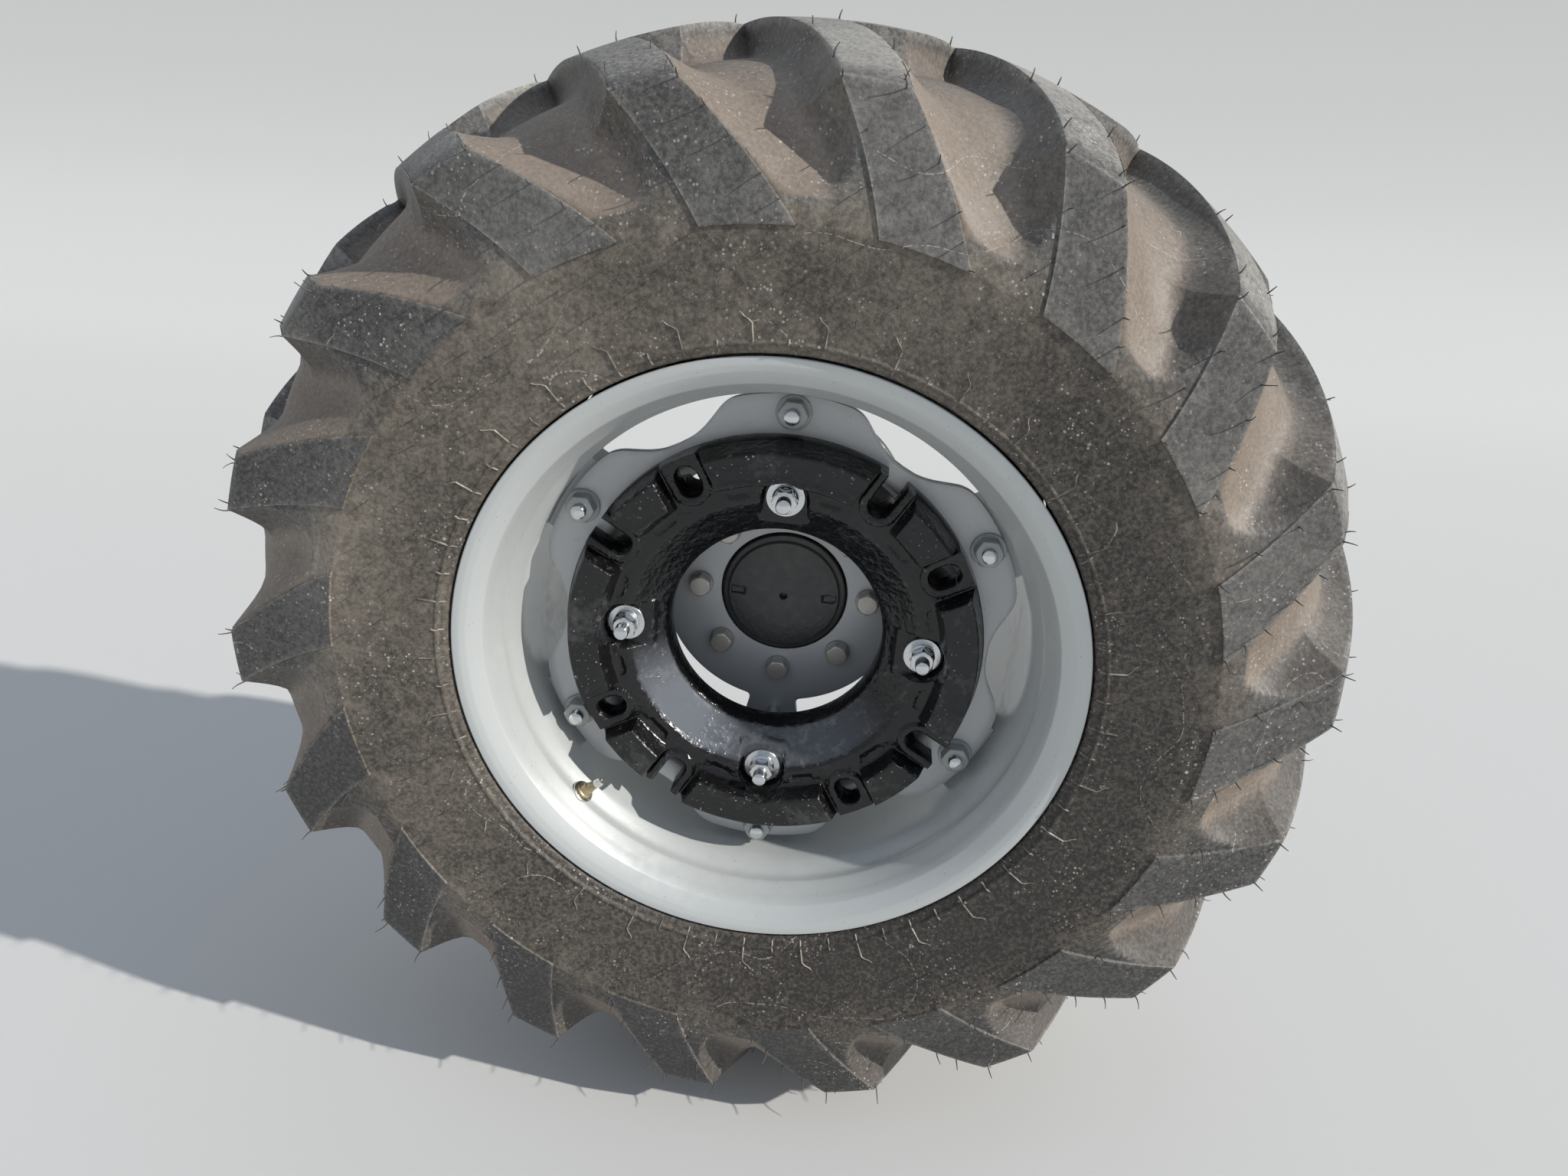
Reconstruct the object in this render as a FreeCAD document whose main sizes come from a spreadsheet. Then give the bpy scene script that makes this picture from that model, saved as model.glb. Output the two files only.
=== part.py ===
import FreeCAD, Part
import math
import os
import re
import Sketcher

# A tractor's left rear wheel on the end of its axle, in millimetres.
# The axle lies along Y. The origin is on the axle in the face that bolts the housing to the
# tractor, and the wheel's outer side is towards -Y. Places along the axle are given as an inset,
# measured inwards from the outer face of the rim. Clock angles run from +Z, clockwise as the
# wheel is seen from outside.

Vector = FreeCAD.Vector

# Columns: name, size, what it is. A size that starts with = follows other sizes.
SIZES = [
    ("face_out", 560, "rim's outer face from the housing's mounting face"),
    ("wheel_turn", 2, "clock angle of the first wheel bolt"),
    ("seat_gap", 0.3, "gap between pieces that seat on each other"),
    # Rim
    ("rim_half", 203, "half the rim's width over its flanges"),
    ("rim_lip_r", 330.2, "radius of the flange's edge"),
    ("rim_wall", 5.5, "thickness of the rolled plate"),
    ("fold_in", 7, "inset of the fold below the flange"),
    ("fold_drop", 18.8, "fold below the lip"),
    ("ramp_in", 42, "inset of the bead seat's inner end"),
    ("ramp_drop", 41.2, "bead seat's inner end below the lip"),
    ("well_in", 85, "inset of the start of the well"),
    ("well_drop", 52.2, "well below the lip"),
    # Tyre
    ("tyre_r", 622, "radius over the lugs at the middle"),
    ("crown_arc_r", 430, "radius of the curve over the lugs' tops, across the tyre"),
    ("lug_height", 35, "height of a lug at the middle"),
    ("crown_in", 105, "inset of the tread floor's bend"),
    ("crown_drop", 7, "bend below the middle of the tread floor"),
    ("shoulder_in", 30, "inset of the floor at the shoulder"),
    ("shoulder_drop", 39, "floor at the shoulder below the middle"),
    ("wide_out", 20, "widest part of the side outside the rim's face"),
    ("section_high", "=tyre_r - rim_lip_r", "height of the tyre over the rim"),
    ("wide_r", "=rim_lip_r + 0.4174 * section_high", "radius of the widest part"),
    ("bead_rise", 5, "side's rise above the flange's edge"),
    ("carcass_wall", 22, "thickness of the side and the tread floor"),
    ("lug_count", 18, "lugs a side"),
    ("lug_steps", 3, "flat steps of the carcass from one lug to the next"),
    ("lug_width", 61, "width of a lug's top"),
    ("lug_clock", 7.1, "clock angle of a lug's outer end"),
    ("lug_sweep", 11.5, "angle that a lug leans from its outer to its inner end"),
    ("lug_bend", 1.2, "power of the lug's curve"),
    ("lug_reach", 256, "inset of a lug's inner end"),
    ("lug_draft", 0.2, "slope of a lug's sides"),
    ("lug_end_slope", 9, "foot of a lug's inner end beyond its top"),
    ("lug_root", 6, "depth of a lug's foot in the carcass"),
    ("facet_foot_r", "=rim_lip_r + 0.4071 * section_high", "radius of the foot of a lug's end face"),
    ("facet_foot_out", 21.5, "that foot outside the rim's face"),
    ("facet_lean", 8.95, "angle from a facet's foot to its top"),
    ("facet_half", 5.35, "half angle of a facet's foot"),
    # Disc
    ("ring_in", 108, "inset of the disc's front ring"),
    ("disc_wall", 11, "thickness of the disc's plate"),
    ("lobe_gap", 7, "gap between the lobes and the rim's well"),
    ("lobe_r", "=rim_lip_r - well_drop - lobe_gap", "radius over the disc's lobes"),
    ("disc_span", "=lobe_bolt_r - hub_bolt_r", "from the hub circle to the lobe bolts"),
    ("ring_inner_r", "=hub_bolt_r + 0.729 * disc_span", "inner edge of the front ring"),
    ("plate_in", 225, "inset of the hub plate's front"),
    ("plate_r", "=hub_bolt_r + 0.531 * disc_span", "radius of the hub plate at the dish"),
    ("scallop_top_x", 66, "half width of a scallop at the lobes"),
    ("scallop_top_z", "=lobe_r - 9", "height of that point"),
    ("scallop_foot_x", 36, "half width of a scallop's round foot"),
    ("scallop_foot_z", "=lobe_r - 25", "height of that point"),
    ("scallop_foot_r", 76.7, "radius of the round foot"),
    ("kidney_inner_r", "=hub_bolt_r + 0.306 * disc_span", "inner edge of the hub plate's openings"),
    ("kidney_outer_r", "=hub_bolt_r + 0.498 * disc_span", "outer edge of those openings"),
    ("kidney_gap", 10.5, "clock angle of an opening's first end"),
    ("kidney_sweep", 56, "angle of an opening"),
    ("pilot_gap", 2.4, "gap round the axle's boss"),
    # Wheel fasteners
    ("lobe_bolts", 6, "bolts that hold the disc to the rim"),
    ("lobe_bolt_edge", 18, "their circle inside the lobes' edge"),
    ("lobe_bolt_r", "=lobe_r - lobe_bolt_edge", "radius of their circle"),
    ("bolt_r", 8, "radius of the wheel's bolts"),
    ("bolt_slack", 0.5, "radial gap of a bolt in its hole"),
    ("lobe_nut_af", 28, "width of a disc nut across its flats"),
    ("lobe_nut_long", 18, "length of a disc nut with its washer face"),
    ("stud_proud", 9, "bolt beyond a disc nut"),
    ("head_long", 10, "length of a bolt's head"),
    # Rim brackets
    ("bracket_half", 46.5, "half width of a bracket"),
    ("bracket_thick", 12, "thickness of a bracket"),
    ("bracket_foot_z", "=lobe_bolt_r - 20 / 151.4 * disc_span", "inner edge of a bracket"),
    ("gusset_thick", 8, "thickness of a bracket's side rib"),
    ("gusset_long", 42, "reach of a side rib along the axle"),
    ("gusset_foot_z", "=lobe_bolt_r - 6", "inner edge of a side rib"),
    # Weight
    ("weight_gap", 7.3, "gap between the weight's edge and the disc nuts"),
    ("weight_r", "=lobe_bolt_r - lobe_nut_af / sqrt(3) - weight_gap", "radius of the weight"),
    ("weight_in", 56, "inset of the weight's front pads"),
    ("pad_edge", 6.5, "pads inside the weight's edge"),
    ("pad_inner_r", "=hub_bolt_r + 0.567 * disc_span", "inner edge of the pads"),
    ("pad_up", 24, "height of the pads over the weight's ring"),
    ("cone_r", "=hub_bolt_r + 0.406 * disc_span", "outer edge of the cone"),
    ("weight_hole_r", "=hub_bolt_r + 0.122 * disc_span", "radius of the weight's hole"),
    ("cone_end_in", 115, "inset of the cone's inner end"),
    ("weight_back_in", 142, "inset of the weight's back"),
    ("spigot_gap", 6, "gap between the weight's back and the dish"),
    ("channel_half", 26, "half the width between pads at a slot"),
    ("slot_half", 12.5, "half width of a slot"),
    ("slot_inner_r", "=hub_bolt_r + 0.633 * disc_span", "middle of a slot's round inner end"),
    ("slot_long", 10, "length of a closed slot between its round ends"),
    ("slot_boss_r", 21.5, "half width of the plate round a slot"),
    ("slot_boss_up", 4, "that plate over the weight's ring"),
    ("closed_clock", 60, "clock angle of the closed slots"),
    ("open_clock", 30, "clock angle of the open slots"),
    ("weight_bolts_n", 4, "bolts that hold the weight"),
    ("weight_bolt_r", "=hub_bolt_r + 0.416 * disc_span", "radius of their circle"),
    ("recess_r", 27, "radius of a bolt's recess"),
    ("recess_in", 96, "inset of the recess's floor"),
    ("recess_foot_r", "=hub_bolt_r + 0.214 * disc_span", "inner edge of the recess's pad"),
    ("weight_washer_r", 20.8, "radius of a weight washer"),
    ("washer_thick", 4, "thickness of a weight washer"),
    ("collar_r", 14, "radius of a weight nut's collar"),
    ("collar_long", 4, "length of the collar"),
    ("nut_af", 24, "width of a weight nut or hub bolt across its flats"),
    ("nut_long", 14, "length of a weight nut"),
    ("weight_stud_proud", 14, "bolt beyond a weight nut"),
    # Hub
    ("hub_bolts_n", 8, "bolts of the hub circle"),
    ("hub_bolt_r", 101.6, "radius of the hub circle"),
    ("hub_head_long", 15, "length of a hub bolt's head with its washer face"),
    ("boss_r", 74.4, "radius of the axle's boss"),
    ("boss_in", 213, "inset of the boss's dome"),
    ("dome_rise", 4, "rise of the dome"),
    ("dome_r", 66, "radius of the dome"),
    ("boss_step", 4, "step from the dome to the boss's edge"),
    ("centre_r", 4.5, "radius of the centre hole"),
    ("centre_deep", 12, "depth of the centre hole"),
    ("mark_x", 55, "middle of the two marks on the dome"),
    ("mark_half_x", 8.5, "half width of a mark"),
    ("mark_half_z", 4.5, "half height of a mark"),
    ("mark_deep", 6, "depth of the marks"),
    # Axle shaft
    ("flange_r", "=hub_bolt_r + 0.188 * disc_span", "radius of the axle's flange"),
    ("flange_thick", 24, "thickness of the flange"),
    ("seal_journal_r", 50, "radius under the seal"),
    ("shaft_r", 45, "radius of the shaft in the housing"),
    ("spline_r", 36, "radius over the splines"),
    ("spline_deep", 4, "depth of the spline grooves"),
    ("spline_count", 20, "spline grooves"),
    ("spline_share", 0.5, "groove's share of the spline pitch"),
    ("spline_out", 62, "splines beyond the mounting face"),
    ("running_fit", 0.05, "radial gap of the shaft in the housing"),
    # Housing
    ("turn_gap", 15, "flange to the bearing retainer"),
    ("retainer_thick", 12, "thickness of the retainer"),
    ("retainer_r", 92, "radius of the retainer and the housing's end"),
    ("head_wall_long", 66, "length of the housing's thick outer end"),
    ("neck_r", 74, "radius of the housing's neck"),
    ("neck_blend", 24, "length of the taper to the neck"),
    ("trumpet_start", 78, "start of the flare, from the mounting face"),
    ("trumpet_r", 98, "radius of the flare at the flange"),
    ("mount_r", 148, "radius of the mounting flange"),
    ("mount_thick", 20, "thickness of the mounting flange"),
    ("mount_bolts_n", 8, "holes in the mounting flange"),
    ("mount_bolt_r", 126, "radius of their circle"),
    ("mount_hole_r", 7, "radius of a mounting hole"),
    # Valve
    ("valve_clock", 224.7, "clock angle of the valve"),
    ("valve_in", 53, "inset of the valve's foot"),
    ("valve_hole_r", 8, "radius of the valve's hole"),
    ("valve_nut_af", 19, "width of the valve's nut across its flats"),
    ("valve_nut_long", 6, "length of the valve's nut"),
    ("valve_stem_r", 5.2, "radius of the stem"),
    ("valve_stem_long", 25, "length of the stem from the rim to its cap"),
    ("valve_cap_r", 4.6, "radius of the cap"),
    ("valve_cap_long", 10, "length of the cap"),
]

doc = FreeCAD.newDocument("TractorWheel")
sheet = doc.addObject("Spreadsheet::Sheet", "Sizes")
for row, (name, size, note) in enumerate(SIZES, start=1):
    sheet.set(f"A{row}", name)
    sheet.set(f"C{row}", note)
    sheet.setAlias(f"B{row}", name)
for row, (name, size, note) in enumerate(SIZES, start=1):
    sheet.set(f"B{row}", str(size))
doc.recompute()


def linked(text):
    """The expression with each size's name pointed at the sheet."""
    return re.sub(r"\b([a-z]\w*)\b(?!\()", r"Sizes.\1", text)


def value(text):
    return float(sheet.evalExpression(linked(text)))


def bind(owner, path, text):
    owner.setExpression(path, linked(text))


def along(inset):
    """Place on the Y axis of an inset from the rim's outer face."""
    return f"(({inset}) - face_out)"


def origin_part(body, role):
    return next(item for item in body.Origin.OriginFeatures if item.Role == role)


def new_body(label):
    body = doc.addObject("PartDesign::Body", label)
    body.Label = label
    body.AllowCompound = True
    return body


def draw_outline(sketch, rows):
    """Closed outline. Columns: across, up, and the radius of the arc that leads to the next
    point, or None for a straight line; a negative radius curves to the other side."""
    points = [Vector(value(across), value(up), 0) for across, up, arc in rows]
    first = sketch.GeometryCount
    for place, (across, up, arc) in enumerate(rows):
        start, end = points[place], points[(place + 1) % len(rows)]
        if arc is None:
            sketch.addGeometry(Part.LineSegment(start, end), False)
            continue
        radius = value(arc)
        chord = end - start
        side = Vector(-chord.y, chord.x, 0).normalize() * math.copysign(1, radius)
        centre = (start + end) * 0.5 + side * math.sqrt(radius ** 2 - (chord.Length / 2) ** 2)
        middle = centre - side * abs(radius)
        sketch.addGeometry(Part.Arc(start, middle, end), False)
    for place, (across, up, arc) in enumerate(rows):
        edge, following = first + place, first + (place + 1) % len(rows)
        turned_round = arc is not None and value(arc) < 0
        start_end, far_end = (2, 1) if turned_round else (1, 2)
        next_arc = rows[(place + 1) % len(rows)][2]
        next_start = 2 if next_arc is not None and value(next_arc) < 0 else 1
        sketch.addConstraint(Sketcher.Constraint("Coincident", edge, far_end, following, next_start))
        for kind, size in (("DistanceX", across), ("DistanceY", up)):
            made = sketch.addConstraint(
                Sketcher.Constraint(kind, -1, 1, edge, start_end, value(size)))
            bind(sketch, f"Constraints[{made}]", size)
        if arc is not None:
            made = sketch.addConstraint(Sketcher.Constraint("Radius", edge, abs(value(arc))))
            bind(sketch, f"Constraints[{made}]", f"abs({arc})")


def draw_circle(sketch, across, up, radius):
    made = sketch.addGeometry(Part.Circle(Vector(value(across), value(up), 0),
                                          Vector(0, 0, 1), value(radius)), False)
    for kind, size in (("DistanceX", across), ("DistanceY", up)):
        row = sketch.addConstraint(Sketcher.Constraint(kind, -1, 1, made, 3, value(size)))
        bind(sketch, f"Constraints[{row}]", size)
    row = sketch.addConstraint(Sketcher.Constraint("Radius", made, value(radius)))
    bind(sketch, f"Constraints[{row}]", radius)


def hexagon(across, up, flats):
    """Six corners of a hexagon with two flats upright, as rows of an outline."""
    rows = []
    for corner in range(6):
        angle = 60 * corner
        rows.append((f"({across}) + ({flats}) / sqrt(3) * sin({angle})",
                     f"({up}) + ({flats}) / sqrt(3) * cos({angle})", None))
    return rows


def draw_slot(sketch, low, high, half):
    """Upright slot whose round ends have their middles at low and high."""
    low_at, high_at, side = value(low), value(high), value(half)
    left_low, left_high = Vector(-side, low_at, 0), Vector(-side, high_at, 0)
    right_low, right_high = Vector(side, low_at, 0), Vector(side, high_at, 0)
    first = sketch.GeometryCount
    left, top, right, bottom = first, first + 1, first + 2, first + 3
    sketch.addGeometry([
        Part.LineSegment(left_low, left_high),
        Part.Arc(right_high, Vector(0, high_at + side, 0), left_high),
        Part.LineSegment(right_high, right_low),
        Part.Arc(left_low, Vector(0, low_at - side, 0), right_low)], False)
    for edge, end, other, other_end in ((left, 2, top, 2), (top, 1, right, 1),
                                        (right, 2, bottom, 2), (bottom, 1, left, 1)):
        sketch.addConstraint(Sketcher.Constraint("Coincident", edge, end, other, other_end))
    for arc, up in ((top, high), (bottom, low)):
        sketch.addConstraint(Sketcher.Constraint("DistanceX", -1, 1, arc, 3, 0))
        for point in (1, 2, 3):
            made = sketch.addConstraint(
                Sketcher.Constraint("DistanceY", -1, 1, arc, point, value(up)))
            bind(sketch, f"Constraints[{made}]", up)
        made = sketch.addConstraint(Sketcher.Constraint("Radius", arc, side))
        bind(sketch, f"Constraints[{made}]", half)


def new_sketch(body, label, role, axis, inset, clock):
    """Sketch on one of the body's own planes, moved to an inset and turned to a clock angle."""
    sketch = body.newObject("Sketcher::SketchObject", label)
    sketch.AttachmentSupport = (origin_part(body, role), [""])
    sketch.MapMode = "FlatFace"
    turn = 1 if clock != "0" else 0
    sketch.AttachmentOffset = FreeCAD.Placement(Vector(0, 0, 0), FreeCAD.Rotation(axis, turn))
    if inset is not None:
        bind(sketch, "AttachmentOffset.Base.z", f"-{along(inset)}")
    if clock != "0":
        bind(sketch, "AttachmentOffset.Rotation.Angle", clock)
    return sketch


def checked(body, feature, grows):
    """The feature, recomputed, after a check that it added or cut something."""
    before = feature.BaseFeature.Shape.Volume if feature.BaseFeature else 0
    doc.recompute()
    change = feature.Shape.Volume - before
    if change == 0 or (change > 0) != grows:
        raise ValueError(f"{feature.Label} of {body.Label} changed the volume by {change}")
    return feature


def turned(body, label, rows, cut=False, clock="0", sweep="360"):
    """Profile turned about the axle. Columns: inset, radius."""
    sketch = new_sketch(body, f"{label}_profile", "YZ_Plane", Vector(1, 0, 0), None, clock)
    draw_outline(sketch, [(along(inset), radius, None) for inset, radius in rows])
    kind = "PartDesign::Groove" if cut else "PartDesign::Revolution"
    feature = body.newObject(kind, label)
    feature.Profile = sketch
    feature.ReferenceAxis = (sketch, ["H_Axis"])
    bind(feature, "Angle", sweep)
    return checked(body, feature, not cut)


def flat(body, label, inset, end, draw, cut=False, clock="0"):
    """Outline carried along the axle from one inset to another: a pad, or a pocket if cut."""
    sketch = new_sketch(body, f"{label}_outline", "XZ_Plane", Vector(0, 0, -1),
                        inset if cut else end, clock)
    draw(sketch)
    feature = body.newObject("PartDesign::Pocket" if cut else "PartDesign::Pad", label)
    feature.Profile = sketch
    bind(feature, "Length", f"({end}) - ({inset})")
    return checked(body, feature, not cut)


def repeated(body, count, features=None):
    """The features, or the whole body where none are named, repeated round the axle."""
    pattern = body.newObject("PartDesign::PolarPattern", f"{body.Name}_circle")
    if features:
        pattern.Originals = features
    else:
        pattern.TransformMode = "Whole shape"
    pattern.Axis = (origin_part(body, "Y_Axis"), [""])
    pattern.Angle = 360
    bind(pattern, "Occurrences", count)
    body.Tip = pattern
    doc.recompute()
    return pattern


def turn_wheel(piece):
    """Turns a piece that is drawn with a bolt at the top to where the wheel stands."""
    piece.Placement = FreeCAD.Placement(Vector(0, 0, 0), Vector(0, 1, 0), value("wheel_turn"))
    return piece


def coded(label, shape, placement=None):
    """Sub-part whose shape is worked out from the sheet."""
    piece = doc.addObject("Part::Feature", label)
    piece.Label = label
    piece.Shape = shape
    if placement:
        piece.Placement = placement
    return piece


def offset_line(points, distance):
    """Points moved square to the line that they follow, with mitred corners."""
    moved = []
    for place, point in enumerate(points):
        before = points[max(place - 1, 0)]
        after = points[min(place + 1, len(points) - 1)]
        ways = []
        for start, end in ((before, point), (point, after)):
            if start != end:
                step = (end[0] - start[0], end[1] - start[1])
                size = math.hypot(*step)
                ways.append((-step[1] / size, step[0] / size))
        if len(ways) == 1:
            ways.append(ways[0])
        normal = (ways[0][0] + ways[1][0], ways[0][1] + ways[1][1])
        share = 1 + ways[0][0] * ways[1][0] + ways[0][1] * ways[1][1]
        moved.append((point[0] + distance * normal[0] / share,
                      point[1] + distance * normal[1] / share))
    return moved


def mirrored_section(half):
    """Section points, inset and radius, followed by their mirror image in the wheel's middle."""
    middle = value("rim_half")
    return half + [(2 * middle - inset, radius) for inset, radius in reversed(half)
                   if abs(inset - middle) > 1e-6]


def turned_solid(points):
    """Closed section of inset and radius, turned about the axle."""
    corners = [Vector(0, inset - value("face_out"), radius) for inset, radius in points]
    face = Part.Face(Part.makePolygon(corners + corners[:1]))
    return face.revolve(Vector(0, 0, 0), Vector(0, 1, 0), 360)


def stepped_solid(points, steps):
    """Closed section of inset and radius, carried round the axle in flat steps. Each radius is
    that of the middle of a step, so the solid clears what a round one of the section clears."""
    rings = []
    for step in range(steps):
        angle = 2 * math.pi * step / steps
        rings.append([Vector(radius / math.cos(math.pi / steps) * math.sin(angle),
                             inset - value("face_out"),
                             radius / math.cos(math.pi / steps) * math.cos(angle))
                      for inset, radius in points])
    faces = []
    for near, far in zip(rings, rings[1:] + rings[:1]):
        for place in range(len(points)):
            after = (place + 1) % len(points)
            corners = [near[place], near[after], far[after], far[place]]
            faces.append(Part.Face(Part.makePolygon(corners + corners[:1])))
    return outward_solid(faces)


def outward_solid(faces):
    shell = Part.makeShell(faces)
    shell.sewShape()
    solid = Part.makeSolid(shell)
    if solid.Volume < 0:
        solid.reverse()
    return solid


def rim_line():
    """The rim's inner side from its lip to its well."""
    rows = [("0", "0"), ("fold_in", "fold_drop"), ("ramp_in", "ramp_drop"),
            ("well_in", "well_drop")]
    return [(value(inset), value(f"rim_lip_r - {drop}")) for inset, drop in rows]


def valve_placement():
    """Foot of the valve on the rim's ramp, with Z pointing square out of the plate."""
    low, high = (value("ramp_in"), value("ramp_drop")), (value("well_in"), value("well_drop"))
    share = (value("valve_in") - low[0]) / (high[0] - low[0])
    radius = value("rim_lip_r") - low[1] - share * (high[1] - low[1])
    angle = math.radians(value("valve_clock + wheel_turn"))
    outwards = Vector(math.sin(angle), 0, math.cos(angle))
    slope = (high[1] - low[1]) / (high[0] - low[0])
    way = (outwards * -1 + Vector(0, -slope, 0)).normalize()
    foot = outwards * radius + Vector(0, value("valve_in - face_out"), 0)
    return FreeCAD.Placement(foot, FreeCAD.Rotation(Vector(0, 0, 1), way))


def make_rim():
    inner = rim_line()
    outer = offset_line(inner, value("rim_wall"))
    section = mirrored_section(inner) + list(reversed(mirrored_section(outer)))
    hole = Part.makeCylinder(value("valve_hole_r"), value("6 * rim_wall"),
                             Vector(0, 0, -value("3 * rim_wall")))
    hole.Placement = valve_placement().multiply(hole.Placement)
    return coded("rim", turned_solid(section).cut(hole))


def lug_top(inset):
    """Radius of the lugs' tops at an inset: an arc across the tyre."""
    across = inset - value("rim_half")
    return value("tyre_r - crown_arc_r") + math.sqrt(value("crown_arc_r") ** 2 - across ** 2)


def tread_floor():
    """The carcass between the lugs, from the widest part of the side to the tyre's middle."""
    rows = [("-wide_out", "wide_r"), ("shoulder_in", "tyre_r - lug_height - shoulder_drop"),
            ("crown_in", "tyre_r - lug_height - crown_drop"),
            ("rim_half", "tyre_r - lug_height")]
    return [(value(inset), value(radius)) for inset, radius in rows]


def floor_radius(inset):
    """Radius of the tread floor at an inset on either side of the middle."""
    inset = min(inset, 2 * value("rim_half") - inset)
    rows = tread_floor()
    for (low, low_r), (high, high_r) in zip(rows, rows[1:]):
        if inset <= high:
            return low_r + (high_r - low_r) * (inset - low) / (high - low)
    return rows[-1][1]


def lug_solid():
    """One outer lug: a facet on the shoulder, then stations that follow its curve to the middle.
    Each station is a ring of four corners: two on the lug's top and two at its foot."""
    half = value("lug_width") / 2

    def corner(angle, inset, radius, sideways):
        around = math.radians(angle) + sideways / radius
        return Vector(radius * math.sin(around), inset - value("face_out"),
                      radius * math.cos(around))

    facet_angle = value("lug_clock + facet_lean")
    foot_r = value("facet_foot_r")
    foot_half = math.radians(value("facet_half")) * foot_r
    rings = [[corner(value("lug_clock"), 0, lug_top(0), -half),
              corner(value("lug_clock"), 0, lug_top(0), half),
              corner(facet_angle, -value("facet_foot_out"), foot_r, foot_half),
              corner(facet_angle, -value("facet_foot_out"), foot_r, -foot_half)]]
    reach = value("lug_reach")
    for share in (0.25, 0.5, 0.75, 1):
        inset = share * reach
        angle = value("lug_clock") - value("lug_sweep") * share ** value("lug_bend")
        top = lug_top(inset)
        foot = floor_radius(inset) - value("lug_root")
        foot_half = half + (top - foot) * value("lug_draft")
        beyond = value("lug_end_slope") if share == 1 else 0
        rings.append([corner(angle, inset, top, -half), corner(angle, inset, top, half),
                      corner(angle, inset + beyond, foot, foot_half),
                      corner(angle, inset + beyond, foot, -foot_half)])
    triangles = [(rings[0][0], rings[0][1], rings[0][2]), (rings[0][0], rings[0][2], rings[0][3]),
                 (rings[-1][0], rings[-1][2], rings[-1][1]),
                 (rings[-1][0], rings[-1][3], rings[-1][2])]
    for near, far in zip(rings, rings[1:]):
        for side in range(4):
            after = (side + 1) % 4
            triangles.append((near[side], far[side], far[after]))
            triangles.append((near[side], far[after], near[after]))
    faces = [Part.Face(Part.makePolygon([a, b, c, a])) for a, b, c in triangles]
    return outward_solid(faces)


def make_tyre():
    lip, fold, ramp = offset_line(rim_line(), value("rim_wall + seat_gap"))[:3]
    rise = value("bead_rise") / math.hypot(lip[0] - fold[0], lip[1] - fold[1])
    top = (lip[0] + (lip[0] - fold[0]) * rise, lip[1] + (lip[1] - fold[1]) * rise)
    outside = [ramp, fold, top] + tread_floor()
    wall = value("carcass_wall")
    inside = [(ramp[0], ramp[1] + wall / 2), (wall - value("wide_out"), value("wide_r")),
              (value("crown_in"), value("tyre_r - lug_height - crown_drop") - wall)]
    section = mirrored_section(outside) + list(reversed(mirrored_section(inside)))
    carcass = stepped_solid(section, int(value("lug_count * lug_steps")))
    middle = Vector(0, value("rim_half - face_out"), 0)
    outer_lug = lug_solid()
    inner_lug = outer_lug.mirror(middle, Vector(0, 1, 0))
    pitch = 360 / value("lug_count")
    lugs = []
    for place in range(int(value("lug_count"))):
        for lug, turn in ((outer_lug, place * pitch), (inner_lug, (place + 0.5) * pitch)):
            copy = lug.copy()
            copy.rotate(Vector(0, 0, 0), Vector(0, 1, 0), turn)
            lugs.append(copy)
    return coded("tyre", carcass.fuse(lugs))


def make_disc():
    body = new_body("wheel_disc")
    turned(body, "pressing", [
        ("ring_in", "lobe_r"), ("ring_in", "ring_inner_r"), ("plate_in", "plate_r"),
        ("plate_in", "boss_r + pilot_gap"), ("plate_in + disc_wall", "boss_r + pilot_gap"),
        ("plate_in + disc_wall", "plate_r + disc_wall"),
        ("ring_in + disc_wall", "ring_inner_r + disc_wall"), ("ring_in + disc_wall", "lobe_r")])
    scallop = flat(body, "scallop", "ring_in - 1", "ring_in + disc_wall + 1", lambda sketch:
                   draw_outline(sketch, [
                       ("-scallop_top_x", "lobe_r + disc_wall", None),
                       ("-scallop_top_x", "scallop_top_z", None),
                       ("-scallop_foot_x", "scallop_foot_z", "scallop_foot_r"),
                       ("scallop_foot_x", "scallop_foot_z", None),
                       ("scallop_top_x", "scallop_top_z", None),
                       ("scallop_top_x", "lobe_r + disc_wall", None)]),
                   cut=True, clock="180 / lobe_bolts")
    repeated(body, "lobe_bolts", [scallop])
    starts = ["kidney_gap", "180 - kidney_gap - kidney_sweep",
              "180 + kidney_gap", "360 - kidney_gap - kidney_sweep"]
    for place, start in enumerate(starts, start=1):
        turned(body, f"kidney{place}", [
            ("plate_in - 1", "kidney_inner_r"), ("plate_in - 1", "kidney_outer_r"),
            ("plate_in + disc_wall + 1", "kidney_outer_r"),
            ("plate_in + disc_wall + 1", "kidney_inner_r")],
            cut=True, clock=start, sweep="kidney_sweep")
    rows = [("lobe_hole", "lobe_bolts", "lobe_bolt_r", "ring_in"),
            ("ear_hole", "weight_bolts_n", "weight_bolt_r", "plate_in"),
            ("hub_hole", "hub_bolts_n", "hub_bolt_r", "plate_in")]
    for label, count, circle, front in rows:
        hole = flat(body, label, f"{front} - 1", f"{front} + disc_wall + 1",
                    lambda sketch: draw_circle(sketch, "0", circle, "bolt_r + bolt_slack"),
                    cut=True)
        repeated(body, count, [hole])
    return turn_wheel(body)


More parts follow.
